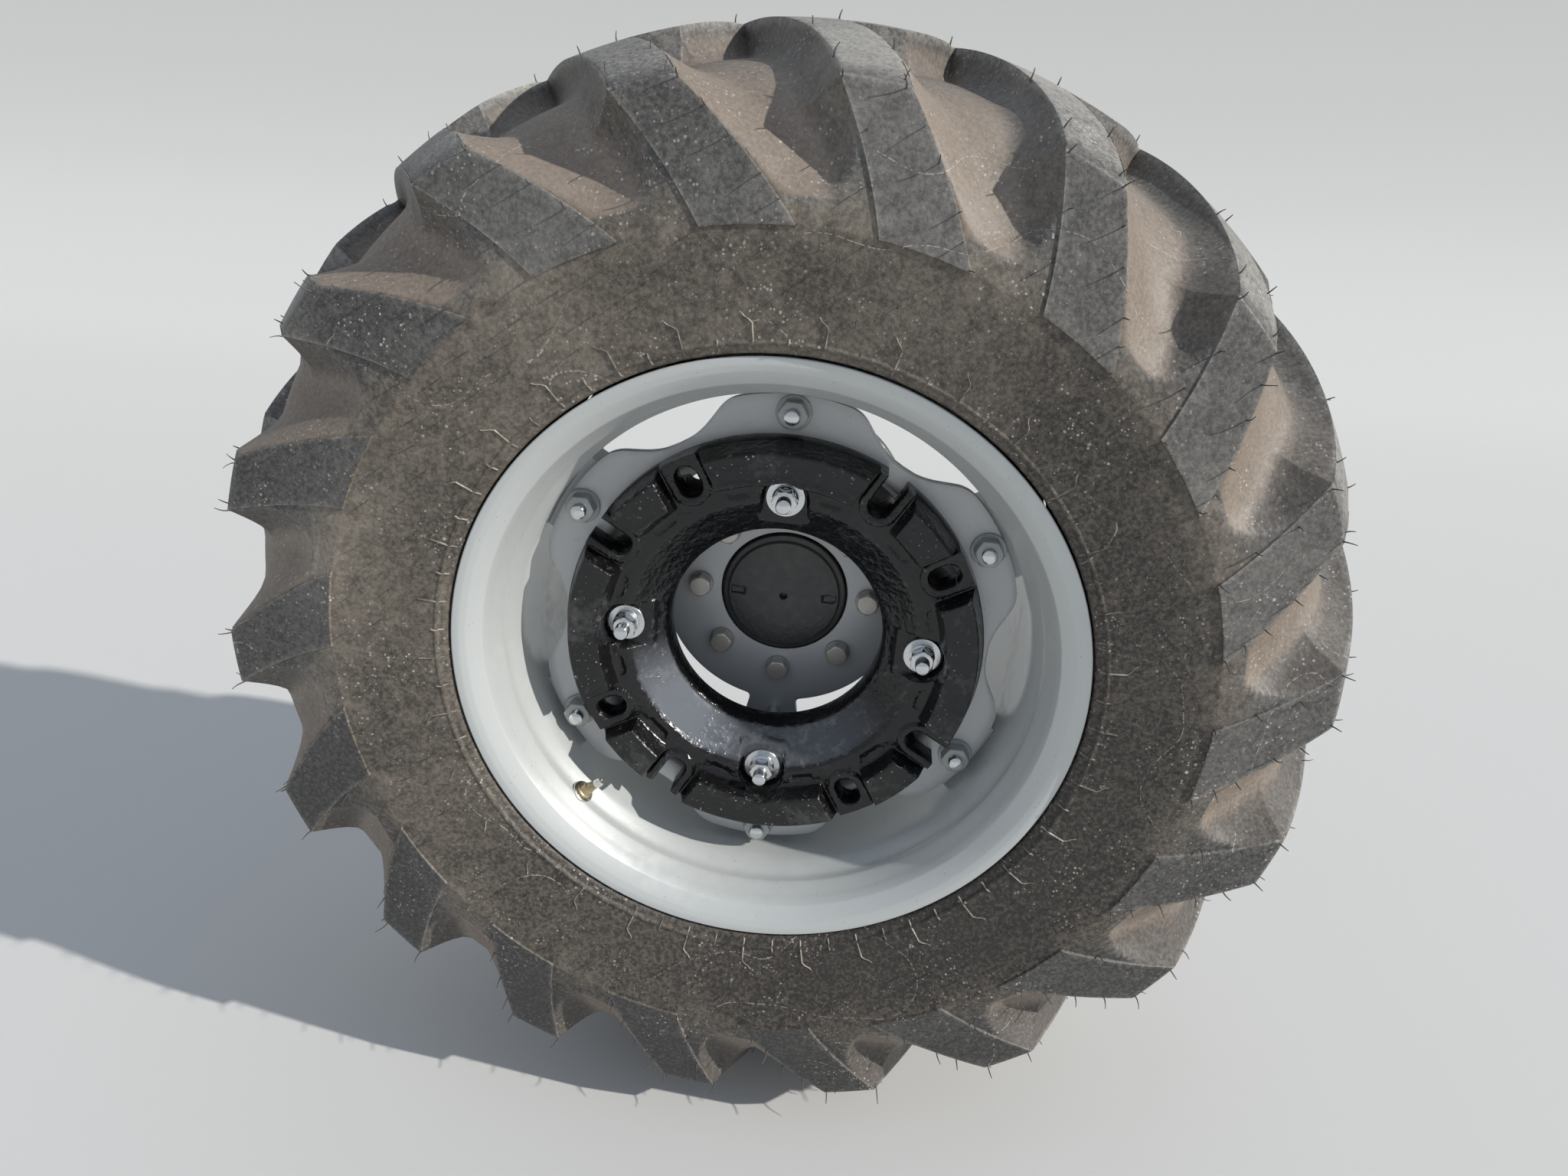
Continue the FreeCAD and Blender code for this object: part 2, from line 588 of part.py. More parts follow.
def make_weight():
    body = new_body("wheel_weight")
    ring = "weight_in + pad_up"
    turned(body, "casting", [
        ("weight_in", "weight_r - pad_edge"), ("weight_in", "pad_inner_r"),
        (ring, "pad_inner_r"), (ring, "cone_r"), ("cone_end_in", "weight_hole_r"),
        ("weight_back_in", "weight_hole_r"),
        ("weight_back_in", "ring_inner_r - (ring_inner_r - plate_r) * (weight_back_in - ring_in)"
                           " / (plate_in - ring_in) - spigot_gap"),
        ("ring_in - seat_gap", "ring_inner_r - spigot_gap"),
        ("ring_in - seat_gap", "weight_r"), (ring, "weight_r"), (ring, "weight_r - pad_edge")])
    edge = "sqrt(weight_r^2 - slot_boss_r^2)"
    for kind, clock, top in (("closed", "closed_clock", "slot_inner_r + slot_long"),
                             ("open", "open_clock", "weight_r + slot_half")):
        gap = flat(body, f"{kind}_gap", "weight_in - 1", ring, lambda sketch:
                   draw_outline(sketch, [
                       ("-channel_half", "cone_r", None), ("-channel_half", "weight_r", None),
                       ("channel_half", "weight_r", None), ("channel_half", "cone_r", None)]),
                   cut=True, clock=clock)
        repeated(body, "weight_bolts_n", [gap])
        plate = flat(body, f"{kind}_plate", f"{ring} - slot_boss_up", f"{ring} + slot_boss_up",
                     lambda sketch: draw_outline(sketch, [
                         ("-slot_boss_r", "slot_inner_r", None),
                         ("-slot_boss_r", edge, "-weight_r"), ("slot_boss_r", edge, None),
                         ("slot_boss_r", "slot_inner_r", None)]), clock=clock)
        repeated(body, "weight_bolts_n", [plate])
        end = flat(body, f"{kind}_plate_end", f"{ring} - slot_boss_up", f"{ring} + slot_boss_up",
                   lambda sketch: draw_circle(sketch, "0", "slot_inner_r", "slot_boss_r"),
                   clock=clock)
        repeated(body, "weight_bolts_n", [end])
        slot = flat(body, f"{kind}_slot", "weight_in", "weight_back_in + 1",
                    lambda sketch: draw_slot(sketch, "slot_inner_r", top, "slot_half"),
                    cut=True, clock=clock)
        repeated(body, "weight_bolts_n", [slot])
    pad = flat(body, "bolt_pad", "recess_in", "weight_back_in - 1", lambda sketch:
               draw_outline(sketch, [
                   ("-recess_r", "recess_foot_r", None), ("-recess_r", "weight_bolt_r", None),
                   ("recess_r", "weight_bolt_r", None), ("recess_r", "recess_foot_r", None)]))
    repeated(body, "weight_bolts_n", [pad])
    recess = flat(body, "recess", "weight_in - 1", "recess_in", lambda sketch:
                  draw_slot(sketch, "weight_hole_r", "weight_bolt_r", "recess_r"), cut=True)
    repeated(body, "weight_bolts_n", [recess])
    hole = flat(body, "bolt_hole", "recess_in - 1", "weight_back_in + 1", lambda sketch:
                draw_circle(sketch, "0", "weight_bolt_r", "bolt_r + bolt_slack"), cut=True)
    repeated(body, "weight_bolts_n", [hole])
    return turn_wheel(body)


def make_ring_of_bolts(label, count, circle, radius, front, back, flats, head, head_first):
    """Bolts round the axle: shank from front to back, with a hexagon head before or behind it."""
    body = new_body(label)
    flat(body, "shank", front, back, lambda sketch: draw_circle(sketch, "0", circle, radius))
    ends = (f"({front}) - ({head})", front) if head_first else (back, f"({back}) + ({head})")
    flat(body, "head", *ends, lambda sketch: draw_outline(sketch, hexagon("0", circle, flats)))
    repeated(body, count)
    return body


def make_ring_of_washers(label, count, circle, radius, hole, front, back):
    body = new_body(label)

    def draw(sketch):
        draw_circle(sketch, "0", circle, radius)
        draw_circle(sketch, "0", circle, hole)

    flat(body, "plate", front, back, draw)
    repeated(body, count)
    return turn_wheel(body)


def make_ring_of_nuts(label, count, circle, flats, front, back, collar=None):
    """Hexagon nuts round the axle, with a round collar behind each where one is given."""
    body = new_body(label)

    def draw(sketch):
        draw_outline(sketch, hexagon("0", circle, flats))
        draw_circle(sketch, "0", circle, "bolt_r + seat_gap")

    def draw_collar(sketch):
        draw_circle(sketch, "0", circle, collar[0])
        draw_circle(sketch, "0", circle, "bolt_r + seat_gap")

    flat(body, "hexagon", front, back, draw)
    if collar:
        flat(body, "collar", back, f"({back}) + ({collar[1]})", draw_collar)
    repeated(body, count)
    return turn_wheel(body)


def make_brackets():
    body = new_body("rim_brackets")
    front = "ring_in + disc_wall + seat_gap"
    well = "rim_lip_r - well_drop - seat_gap"
    edge = f"sqrt(({well})^2 - bracket_half^2)"
    flat(body, "plate", front, f"{front} + bracket_thick", lambda sketch: draw_outline(sketch, [
        ("-bracket_half", "bracket_foot_z", None), ("-bracket_half", edge, f"-({well})"),
        ("bracket_half", edge, None), ("bracket_half", "bracket_foot_z", None)]))
    for side, label in (("-", "left"), ("", "right")):
        flat(body, f"{label}_rib", f"{front} + bracket_thick", f"{front} + gusset_long",
             lambda sketch: draw_outline(sketch, [
                 (f"{side}bracket_half", "gusset_foot_z", None),
                 (f"{side}bracket_half", edge, None),
                 (f"{side}(bracket_half - gusset_thick)", edge, None),
                 (f"{side}(bracket_half - gusset_thick)", "gusset_foot_z", None)]))
    flat(body, "bolt_hole", f"{front} - 1", f"{front} + bracket_thick + 1", lambda sketch:
         draw_circle(sketch, "0", "lobe_bolt_r", "bolt_r + bolt_slack"), cut=True)
    repeated(body, "lobe_bolts")
    return turn_wheel(body)


def make_shaft():
    body = new_body("axle_shaft")
    face = "plate_in + disc_wall + seat_gap"
    flange_back = f"{face} + flange_thick"
    head = f"{flange_back} + turn_gap + retainer_thick"
    turned(body, "forging", [
        ("boss_in", "0"), ("boss_in", "centre_r"), ("boss_in + dome_rise", "dome_r"),
        ("boss_in + dome_rise + boss_step", "boss_r"), (face, "boss_r"), (face, "flange_r"),
        (flange_back, "flange_r"), (flange_back, "seal_journal_r"),
        (f"{head} - seat_gap", "seal_journal_r"), (f"{head} - seat_gap", "shaft_r"),
        ("face_out", "shaft_r"), ("face_out", "spline_r"),
        ("face_out + spline_out", "spline_r"), ("face_out + spline_out", "0")])
    flat(body, "centre_hole", "boss_in - 1", "boss_in + centre_deep", lambda sketch:
         draw_circle(sketch, "0", "0", "centre_r"), cut=True)
    for side, label in (("-", "left"), ("", "right")):
        flat(body, f"{label}_mark", "boss_in - 1", "boss_in + mark_deep", lambda sketch:
             draw_outline(sketch, [
                 (f"{side}mark_x - mark_half_x", "-mark_half_z", None),
                 (f"{side}mark_x - mark_half_x", "mark_half_z", None),
                 (f"{side}mark_x + mark_half_x", "mark_half_z", None),
                 (f"{side}mark_x + mark_half_x", "-mark_half_z", None)]), cut=True)
    tapped = flat(body, "hub_hole", f"{face} - 1", f"{flange_back} + 1", lambda sketch:
                  draw_circle(sketch, "0", "hub_bolt_r", "bolt_r + seat_gap"), cut=True)
    repeated(body, "hub_bolts_n", [tapped])
    groove = turned(body, "spline_groove", [
        ("face_out", "spline_r - spline_deep"), ("face_out", "spline_r + 1"),
        ("face_out + spline_out + 1", "spline_r + 1"),
        ("face_out + spline_out + 1", "spline_r - spline_deep")],
        cut=True, sweep="spline_share * 360 / spline_count")
    repeated(body, "spline_count", [groove])
    return turn_wheel(body)


def make_housing():
    body = new_body("axle_housing")
    head = "plate_in + disc_wall + seat_gap + flange_thick + turn_gap + retainer_thick"
    turned(body, "trumpet", [
        (head, "retainer_r"), (f"{head} + head_wall_long", "retainer_r"),
        (f"{head} + head_wall_long + neck_blend", "neck_r"),
        ("face_out - trumpet_start", "neck_r"), ("face_out - mount_thick", "trumpet_r"),
        ("face_out - mount_thick", "mount_r"), ("face_out", "mount_r"),
        ("face_out", "shaft_r + running_fit"), (head, "shaft_r + running_fit")])
    hole = flat(body, "mount_hole", "face_out - mount_thick - 1", "face_out + 1", lambda sketch:
                draw_circle(sketch, "0", "mount_bolt_r", "mount_hole_r"), cut=True)
    repeated(body, "mount_bolts_n", [hole])
    return body


def make_retainer():
    body = new_body("bearing_retainer")
    front = "plate_in + disc_wall + seat_gap + flange_thick + turn_gap"
    turned(body, "cover", [
        (front, "retainer_r"), (front, "seal_journal_r + seat_gap"),
        (f"{front} + retainer_thick", "seal_journal_r + seat_gap"),
        (f"{front} + retainer_thick", "retainer_r")])
    return body


def make_fasteners():
    """Nuts, bolts and washers of the disc, the weight and the hub."""
    lobe_nut = "ring_in - lobe_nut_long"
    bracket_back = "ring_in + disc_wall + seat_gap + bracket_thick"
    weight_nut = "recess_in - washer_thick - collar_long - nut_long"
    ear_back = "plate_in + disc_wall"
    bolts = [
        make_ring_of_bolts("disc_bolts", "lobe_bolts", "lobe_bolt_r", "bolt_r",
                           f"{lobe_nut} - stud_proud", bracket_back,
                           "lobe_nut_af", "head_long", False),
        make_ring_of_bolts("weight_bolts", "weight_bolts_n", "weight_bolt_r", "bolt_r",
                           f"{weight_nut} - weight_stud_proud", ear_back,
                           "nut_af", "head_long", False),
        make_ring_of_bolts("hub_bolts", "hub_bolts_n", "hub_bolt_r", "bolt_r", "plate_in",
                           f"{ear_back} + seat_gap + flange_thick", "nut_af",
                           "hub_head_long", True)]
    washers = make_ring_of_washers("weight_washers", "weight_bolts_n", "weight_bolt_r",
                                   "weight_washer_r", "bolt_r + bolt_slack",
                                   "recess_in - washer_thick", "recess_in")
    nuts = [
        make_ring_of_nuts("disc_nuts", "lobe_bolts", "lobe_bolt_r", "lobe_nut_af", lobe_nut,
                          "ring_in"),
        make_ring_of_nuts("weight_nuts", "weight_bolts_n", "weight_bolt_r", "nut_af",
                          weight_nut, "recess_in - washer_thick - collar_long",
                          ("collar_r", "collar_long"))]
    return [turn_wheel(piece) for piece in bolts] + [washers] + nuts


def make_valve():
    """Stem with its hexagon foot, and its cap, drawn upright and stood on the rim's ramp."""
    foot = value("rim_wall + seat_gap")
    flats = value("valve_nut_af") / math.sqrt(3)
    corners = [Vector(flats * math.sin(math.radians(60 * turn)),
                      flats * math.cos(math.radians(60 * turn)), value("4 * seat_gap"))
               for turn in range(6)]
    nut = Part.Face(Part.makePolygon(corners + corners[:1]))
    nut = nut.extrude(Vector(0, 0, value("valve_nut_long")))
    stem = Part.makeCylinder(value("valve_stem_r"), value("valve_stem_long") + foot,
                             Vector(0, 0, -foot))
    cap = Part.makeCylinder(value("valve_cap_r"), value("valve_cap_long"),
                            Vector(0, 0, value("valve_stem_long + seat_gap")))
    place = valve_placement()
    return [coded("valve_stem", stem.fuse(nut), place), coded("valve_cap", cap, place)]


pieces = [make_tyre(), make_rim(), make_disc(), make_brackets(), make_weight(), make_shaft(),
          make_housing(), make_retainer()]
pieces += make_fasteners() + make_valve()
doc.recompute()

for item in doc.Objects:
    if "Invalid" in item.State or "Error" in item.State:
        raise ValueError(f"{item.Label} did not recompute: {item.State}")
os.makedirs("parts", exist_ok=True)
for piece in pieces:
    if piece.Shape.isNull() or not piece.Shape.isValid():
        raise ValueError(f"{piece.Label} has no valid shape")
    piece.Shape.exportStep(f"parts/{piece.Label}.step")
    box = piece.Shape.BoundBox
    print(f"{piece.Label:18} solids {len(piece.Shape.Solids):2} volume {piece.Shape.Volume / 1e3:9.1f}"
          f" y {box.YMin:7.1f} {box.YMax:7.1f} z {box.ZMin:7.1f} {box.ZMax:7.1f}")
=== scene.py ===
"""A tractor's left rear wheel with the end of its axle: the looks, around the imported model.

Sizes are in millimetres until a point is placed. A place on the wheel is an inset from the rim's
outer face, a radius from the axle and an angle from +X towards +Z, as seen from outside.
"""
import math

import bmesh
import bpy
import numpy as np
from mathutils import Matrix, Vector


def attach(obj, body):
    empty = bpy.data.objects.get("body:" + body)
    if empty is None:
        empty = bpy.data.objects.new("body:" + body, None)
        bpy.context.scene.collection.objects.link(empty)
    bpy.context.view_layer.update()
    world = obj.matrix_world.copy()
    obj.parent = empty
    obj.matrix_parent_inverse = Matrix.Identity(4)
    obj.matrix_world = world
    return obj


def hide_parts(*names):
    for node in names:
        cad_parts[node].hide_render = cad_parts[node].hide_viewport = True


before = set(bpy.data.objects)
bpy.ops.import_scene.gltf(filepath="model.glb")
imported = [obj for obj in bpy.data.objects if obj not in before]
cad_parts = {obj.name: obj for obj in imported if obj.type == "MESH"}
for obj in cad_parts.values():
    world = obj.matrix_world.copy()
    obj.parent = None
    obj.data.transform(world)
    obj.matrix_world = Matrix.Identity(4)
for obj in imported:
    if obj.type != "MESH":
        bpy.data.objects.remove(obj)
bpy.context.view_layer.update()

FACE_OUT = 560      # from the housing's mounting face out to the rim's outer face
MIDDLE = 203        # inset of the wheel's middle plane
FLOOR = -0.622      # height of the floor in metres
LUGS = 18           # lugs on each side of the tyre
PITCH = 360 / LUGS
FIRST_BOLT = 88     # angle of the first bolt of the disc and of the weight
SLOTS = [28 + 90 * k for k in range(4)] + [58 + 90 * k for k in range(4)]   # closed, then open
BOLTS = [FIRST_BOLT + 90 * k for k in range(4)]
SEED = 7


# -------- points and meshes

def polar(radius, degrees):
    """Places across and up: radius cos and radius sin."""
    around = np.radians(degrees)
    return radius * np.cos(around), radius * np.sin(around)


def at(across, inset, up):
    """Points in metres: y is the inset less the face's distance."""
    return np.stack(np.broadcast_arrays(across, inset - FACE_OUT, up), -1) / 1000


def placed(radius, inset, degrees):
    """Points in metres from cylinder coordinates."""
    across, up = polar(radius, degrees)
    return at(across, inset, up)


def circle(steps):
    """Angles of a full circle, as a column."""
    return np.linspace(0, 360, steps, endpoint=False)[:, None]


def smoothed(points, steps):
    """Curve through all the points: between two of them it is the cubic whose slopes are half the
    difference of their neighbours."""
    points = np.asarray(points, float)
    ends = np.vstack([2 * points[0] - points[1], points, 2 * points[-1] - points[-2]])
    share = (np.arange(steps) / steps)[None, :, None]
    before, near, far, after = (ends[k:len(ends) - 3 + k, None] for k in range(4))
    cubic = near + 0.5 * share * (far - before + share * (
        2 * before - 5 * near + 4 * far - after + share * (3 * (near - far) + after - before)))
    return np.vstack([cubic.reshape(-1, points.shape[1]), points[-1]])


def rounded(corners, reach, steps=5):
    """Closed outline whose corners become parabolas: each starts and ends at its reach from the
    corner, or at just under half the shorter edge."""
    corners = np.asarray(corners, float)
    edges = [np.roll(corners, way, 0) - corners for way in (1, -1)]
    long = [np.linalg.norm(edge, axis=1, keepdims=True) for edge in edges]
    reach = np.minimum(np.reshape(reach, (-1, 1)), 0.48 * np.minimum(*long))
    first, last = (corners + edges[k] / long[k] * reach for k in (0, 1))
    share = np.linspace(0, 1, steps)[None, :, None]
    curve = (first[:, None] * (1 - share) ** 2 + 2 * share * (1 - share) * corners[:, None]
             + last[:, None] * share ** 2)
    return curve.reshape(-1, 2)


def normals(line):
    """Unit normals of a line, to the left of its way."""
    slope = np.gradient(line, axis=0)
    slope /= np.linalg.norm(slope, axis=1, keepdims=True)
    return np.stack([-slope[:, 1], slope[:, 0]], -1)


def cells(index):
    """The four corners of each cell of a grid."""
    return np.stack([index[..., :-1, :-1], index[..., :-1, 1:], index[..., 1:, 1:],
                     index[..., 1:, :-1]], -1).reshape(-1, 4)


def sheet(points, around=True, along=True):
    """Quads between neighbours of a grid of points, closed in either direction where asked."""
    index = np.arange(points[..., 0].size).reshape(points.shape[:2])
    if around:
        index = np.vstack([index, index[:1]])
    if along:
        index = np.hstack([index, index[:, :1]])
    return points.reshape(-1, 3), cells(index)


def tubes(points):
    """Points, side quads and end caps of closed tubes, from a grid of tubes, rings and corners."""
    index = np.arange(points[..., 0].size).reshape(points.shape[:3])
    quads = cells(np.concatenate([index, index[:, :, :1]], 2))
    return points.reshape(-1, 3), quads, np.vstack([index[:, 0, ::-1], index[:, -1]])


def outward(part):
    """The part with its faces turned outwards, which its signed volume tells: a sixth of the sum
    of the triple products of each face's corners."""
    points, faces = part
    a, b, c = (points[faces[:, k]] for k in range(3))
    volume = np.einsum("ij,ij->", a, np.cross(b, c))
    if faces.shape[1] == 4:
        volume += np.einsum("ij,ij->", a, np.cross(c, points[faces[:, 3]]))
    return points, faces if volume > 0 else faces[:, ::-1]


def turned(section, steps):
    """Closed section of inset and radius carried round the axle in a full circle."""
    return outward(sheet(placed(section[None, :, 1], section[None, :, 0], circle(steps))))


def ringed(part, inset, count, radius, first):
    """Copies of a part that is drawn about the axle's line: each is turned about Y and moved to
    its place on a circle, which gives one part."""
    points, faces = part
    degrees = first + 360 / count * np.arange(count)
    x, y = polar(1, degrees)
    turn = np.zeros((count, 3, 3))
    turn[:, 0, 0] = turn[:, 2, 2] = x
    turn[:, 0, 2], turn[:, 2, 0] = -y, y
    turn[:, 1, 1] = 1
    moved = np.einsum("nij,pj->npi", turn, points) + placed(radius, inset, degrees)[:, None]
    steps = len(points) * np.arange(count)
    return moved.reshape(-1, 3), (faces[None] + steps[:, None, None]).reshape(-1, faces.shape[1])


def linked(name, data):
    """Object of this data in the scene."""
    made = bpy.data.objects.new(name, data)
    bpy.context.scene.collection.objects.link(made)
    return made


def piece(name, parts, finish, nodes=(), body="wheel", crease=32, values=None):
    """One mesh object from several parts, with doubles merged and edges sharper than the crease
    angle left sharp. Values are numbers kept at the points of the first parts, for the finish."""
    points, faces, start = [], [], 0
    for part_points, part_faces in parts:
        points.append(part_points)
        faces += (part_faces + start).tolist()
        start += len(part_points)
    mesh = bpy.data.meshes.new(name)
    mesh.from_pydata(np.vstack(points), [], faces)
    for label, numbers in (values or {}).items():
        padded = np.zeros(start)
        padded[:numbers.size] = numbers.ravel()
        mesh.attributes.new(label, "FLOAT", "POINT").data.foreach_set("value", padded)
    net = bmesh.new()
    net.from_mesh(mesh)
    bmesh.ops.remove_doubles(net, verts=net.verts, dist=2e-6)
    net.to_mesh(mesh)
    net.free()
    mesh.polygons.foreach_set("use_smooth", np.ones(len(mesh.polygons), bool))
    mesh.set_sharp_from_angle(angle=math.radians(crease))
    mesh.materials.append(finish)
    made = linked(name, mesh)
    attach(made, body)
    if nodes:
        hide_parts(*nodes)


# -------- plates with openings

def pierced(front, back, outside):
    """Closed plate between two grids of points. Outside holds each point's distance from the
    openings: below zero in one, zero on its edge. Cells with one corner in an opening keep the
    triangle of the others, and a wall joins the two grids along every free edge."""
    total = outside.size
    index = np.arange(total).reshape(outside.shape)
    corners = cells(np.vstack([index, index[:1]]))
    inside = cells(np.vstack([outside, outside[:1]])) < 0
    whole = corners[~inside.any(1)]
    triangles = [whole[:, [0, 1, 2]], whole[:, [0, 2, 3]]]
    for corner in range(4):
        others = [(corner + k) % 4 for k in (1, 2, 3)]
        part = inside[:, corner] & ~inside[:, others].any(1)
        triangles.append(corners[part][:, others])
    faces = np.vstack(triangles)
    edges = np.vstack([faces[:, [0, 1]], faces[:, [1, 2]], faces[:, [2, 0]]])
    keys = np.sort(edges, 1) @ np.array([total, 1])
    _, place, count = np.unique(keys, return_index=True, return_counts=True)
    free = edges[place[count == 1]]
    walls = np.hstack([free[:, ::-1], free + total])
    points = np.vstack([front.reshape(-1, 3), back.reshape(-1, 3)])
    return outward((points, np.vstack([faces, faces[:, ::-1] + total, walls[:, [0, 1, 2]],
                                       walls[:, [0, 2, 3]]])))


def settled(across, up, distance, cell):
    """Grid points nearer than half a cell to an opening's edge moved onto that edge, down the
    slope of the distance. Gives the moved points and their distances."""
    step = 0.01
    for _ in range(2):
        here = distance(across, up)
        slope_x = (distance(across + step, up) - here) / step
        slope_y = (distance(across, up + step) - here) / step
        steep = np.maximum(slope_x ** 2 + slope_y ** 2, 0.01)
        near = np.abs(here) < 0.55 * cell
        across = np.where(near, across - here * slope_x / steep, across)
        up = np.where(near, up - here * slope_y / steep, up)
    return across, up, on_edge(distance(across, up))


def on_edge(gap):
    """Distance with what is next to nothing taken as nothing."""
    return np.where(np.abs(gap) < 0.08, 0, gap)


def box_gap(across, up, half_across, half_up, corner):
    """Distance from a rectangle with round corners that is centred on the origin."""
    x, y = np.abs(across) - half_across + corner, np.abs(up) - half_up + corner
    return np.hypot(np.maximum(x, 0), np.maximum(y, 0)) + np.minimum(np.maximum(x, y), 0) - corner


def own_frame(across, up, degrees):
    """Places seen from a ray at some angle: first how far they lie to its side, then how far out
    they lie along it."""
    x, y = polar(1, degrees)
    return across * y - up * x, across * x + up * y


def beside_rays(across, up, angles):
    """Distance to the side of the nearest of some rays, and 99 where there is none."""
    rays = [own_frame(across, up, degrees) for degrees in angles]
    return np.minimum.reduce([np.where(out > 0, np.abs(side), 99.0) for side, out in rays])


def ramp(x, low, high):
    """0 below low, 1 above high, and a smooth cubic step between."""
    share = np.clip((x - low) / (high - low), 0, 1)
    return share * share * (3 - 2 * share)


def ridge(x, width):
    """Smooth bump round 0: e to the power of less the square of x in widths."""
    return np.exp(-(x / width) ** 2)


def toward(level, goal, share):
    """Level moved towards a goal by a share of the way."""
    return level + (goal - level) * share


# -------- fasteners

def hexagon_body(flats, length, chamfer):
    """Hexagon bar along the axle: its radius is that of the flats, cut down at the front by the
    cone of the chamfer, which is a share of the length."""
    degrees = circle(72)
    flat = flats / 2 / np.cos(np.radians((degrees + 30) % 60 - 30))
    shares = np.array([(0, 0), (0.46, 0), (0.505, chamfer / 2), (0.545, chamfer),
                       (0.6, 2 * chamfer), (0.6, 1), (0, 1)])
    radius = np.minimum(flat, shares[:, 0] * flats)
    inset = FACE_OUT - length + shares[:, 1] * length
    return outward(sheet(placed(radius, inset[None], degrees), along=False))


def disc_part(rows, steps=48):
    """Small turned part about the axle's line, from rows of how far it stands out and radius."""
    out, radius = np.array(rows, float).T
    grid = placed(radius[None], FACE_OUT - out[None], circle(steps))
    return outward(sheet(grid, along=radius[0] > 0))


def thread(radius, low, high, pitch=2.0, depth=0.6):
    """Threaded bar end: the radius falls by a triangle wave of the height less the angle's share
    of a pitch, and ends in a chamfer."""
    degrees = circle(40)
    out = np.linspace(low, high - 1.4, int((high - low) * 3))
    wave = np.abs(((out / pitch - degrees / 360) % 1) * 2 - 1)
    groove = radius - depth * wave * ramp(out, low, low + 1)
    foot = np.array([(low, 0), (low, radius)])
    tip = np.array([(high - 1.2, radius - 0.5), (high, radius - 1.6), (high, 0)])
    radii = np.hstack([np.tile(foot[:, 1], (40, 1)), groove, np.tile(tip[:, 1], (40, 1))])
    outs = np.concatenate([foot[:, 0], out, tip[:, 0]])
    return outward(sheet(placed(radii, FACE_OUT - outs[None], degrees), along=False))


# -------- tyre

LIP = smoothed([(0, 526), (0.05, 520), (0.09, 511), (0.15, 502), (0.22, 493), (0.29, 486.5),
                (0.37, 480.5), (0.45, 475.5), (0.53, 472), (0.62, 469.3), (0.72, 467.4),
                (0.82, 466.8), (0.91, 468), (0.96, 470.5), (1, 475)], 3)


def lug_top(inset):
    """Radius over the lugs: an arc of 430 mm across the tyre, 622 mm at the middle."""
    return 622 - 430 + np.sqrt(430 ** 2 - (inset - MIDDLE) ** 2)


def lug_angle(inset):
    """Angle of the middle of a lug's top: it turns on as the inset to the power of 1.2."""
    return 82.9 + 11.5 * (np.maximum(inset, 0) / 256) ** 1.2


def quarter(x, reach):
    """Quarter of an ellipse that rises from 0 at x = 0 to 1 at the reach."""
    return np.sqrt(1 - (1 - np.clip(x / reach, 0, 1)) ** 2)


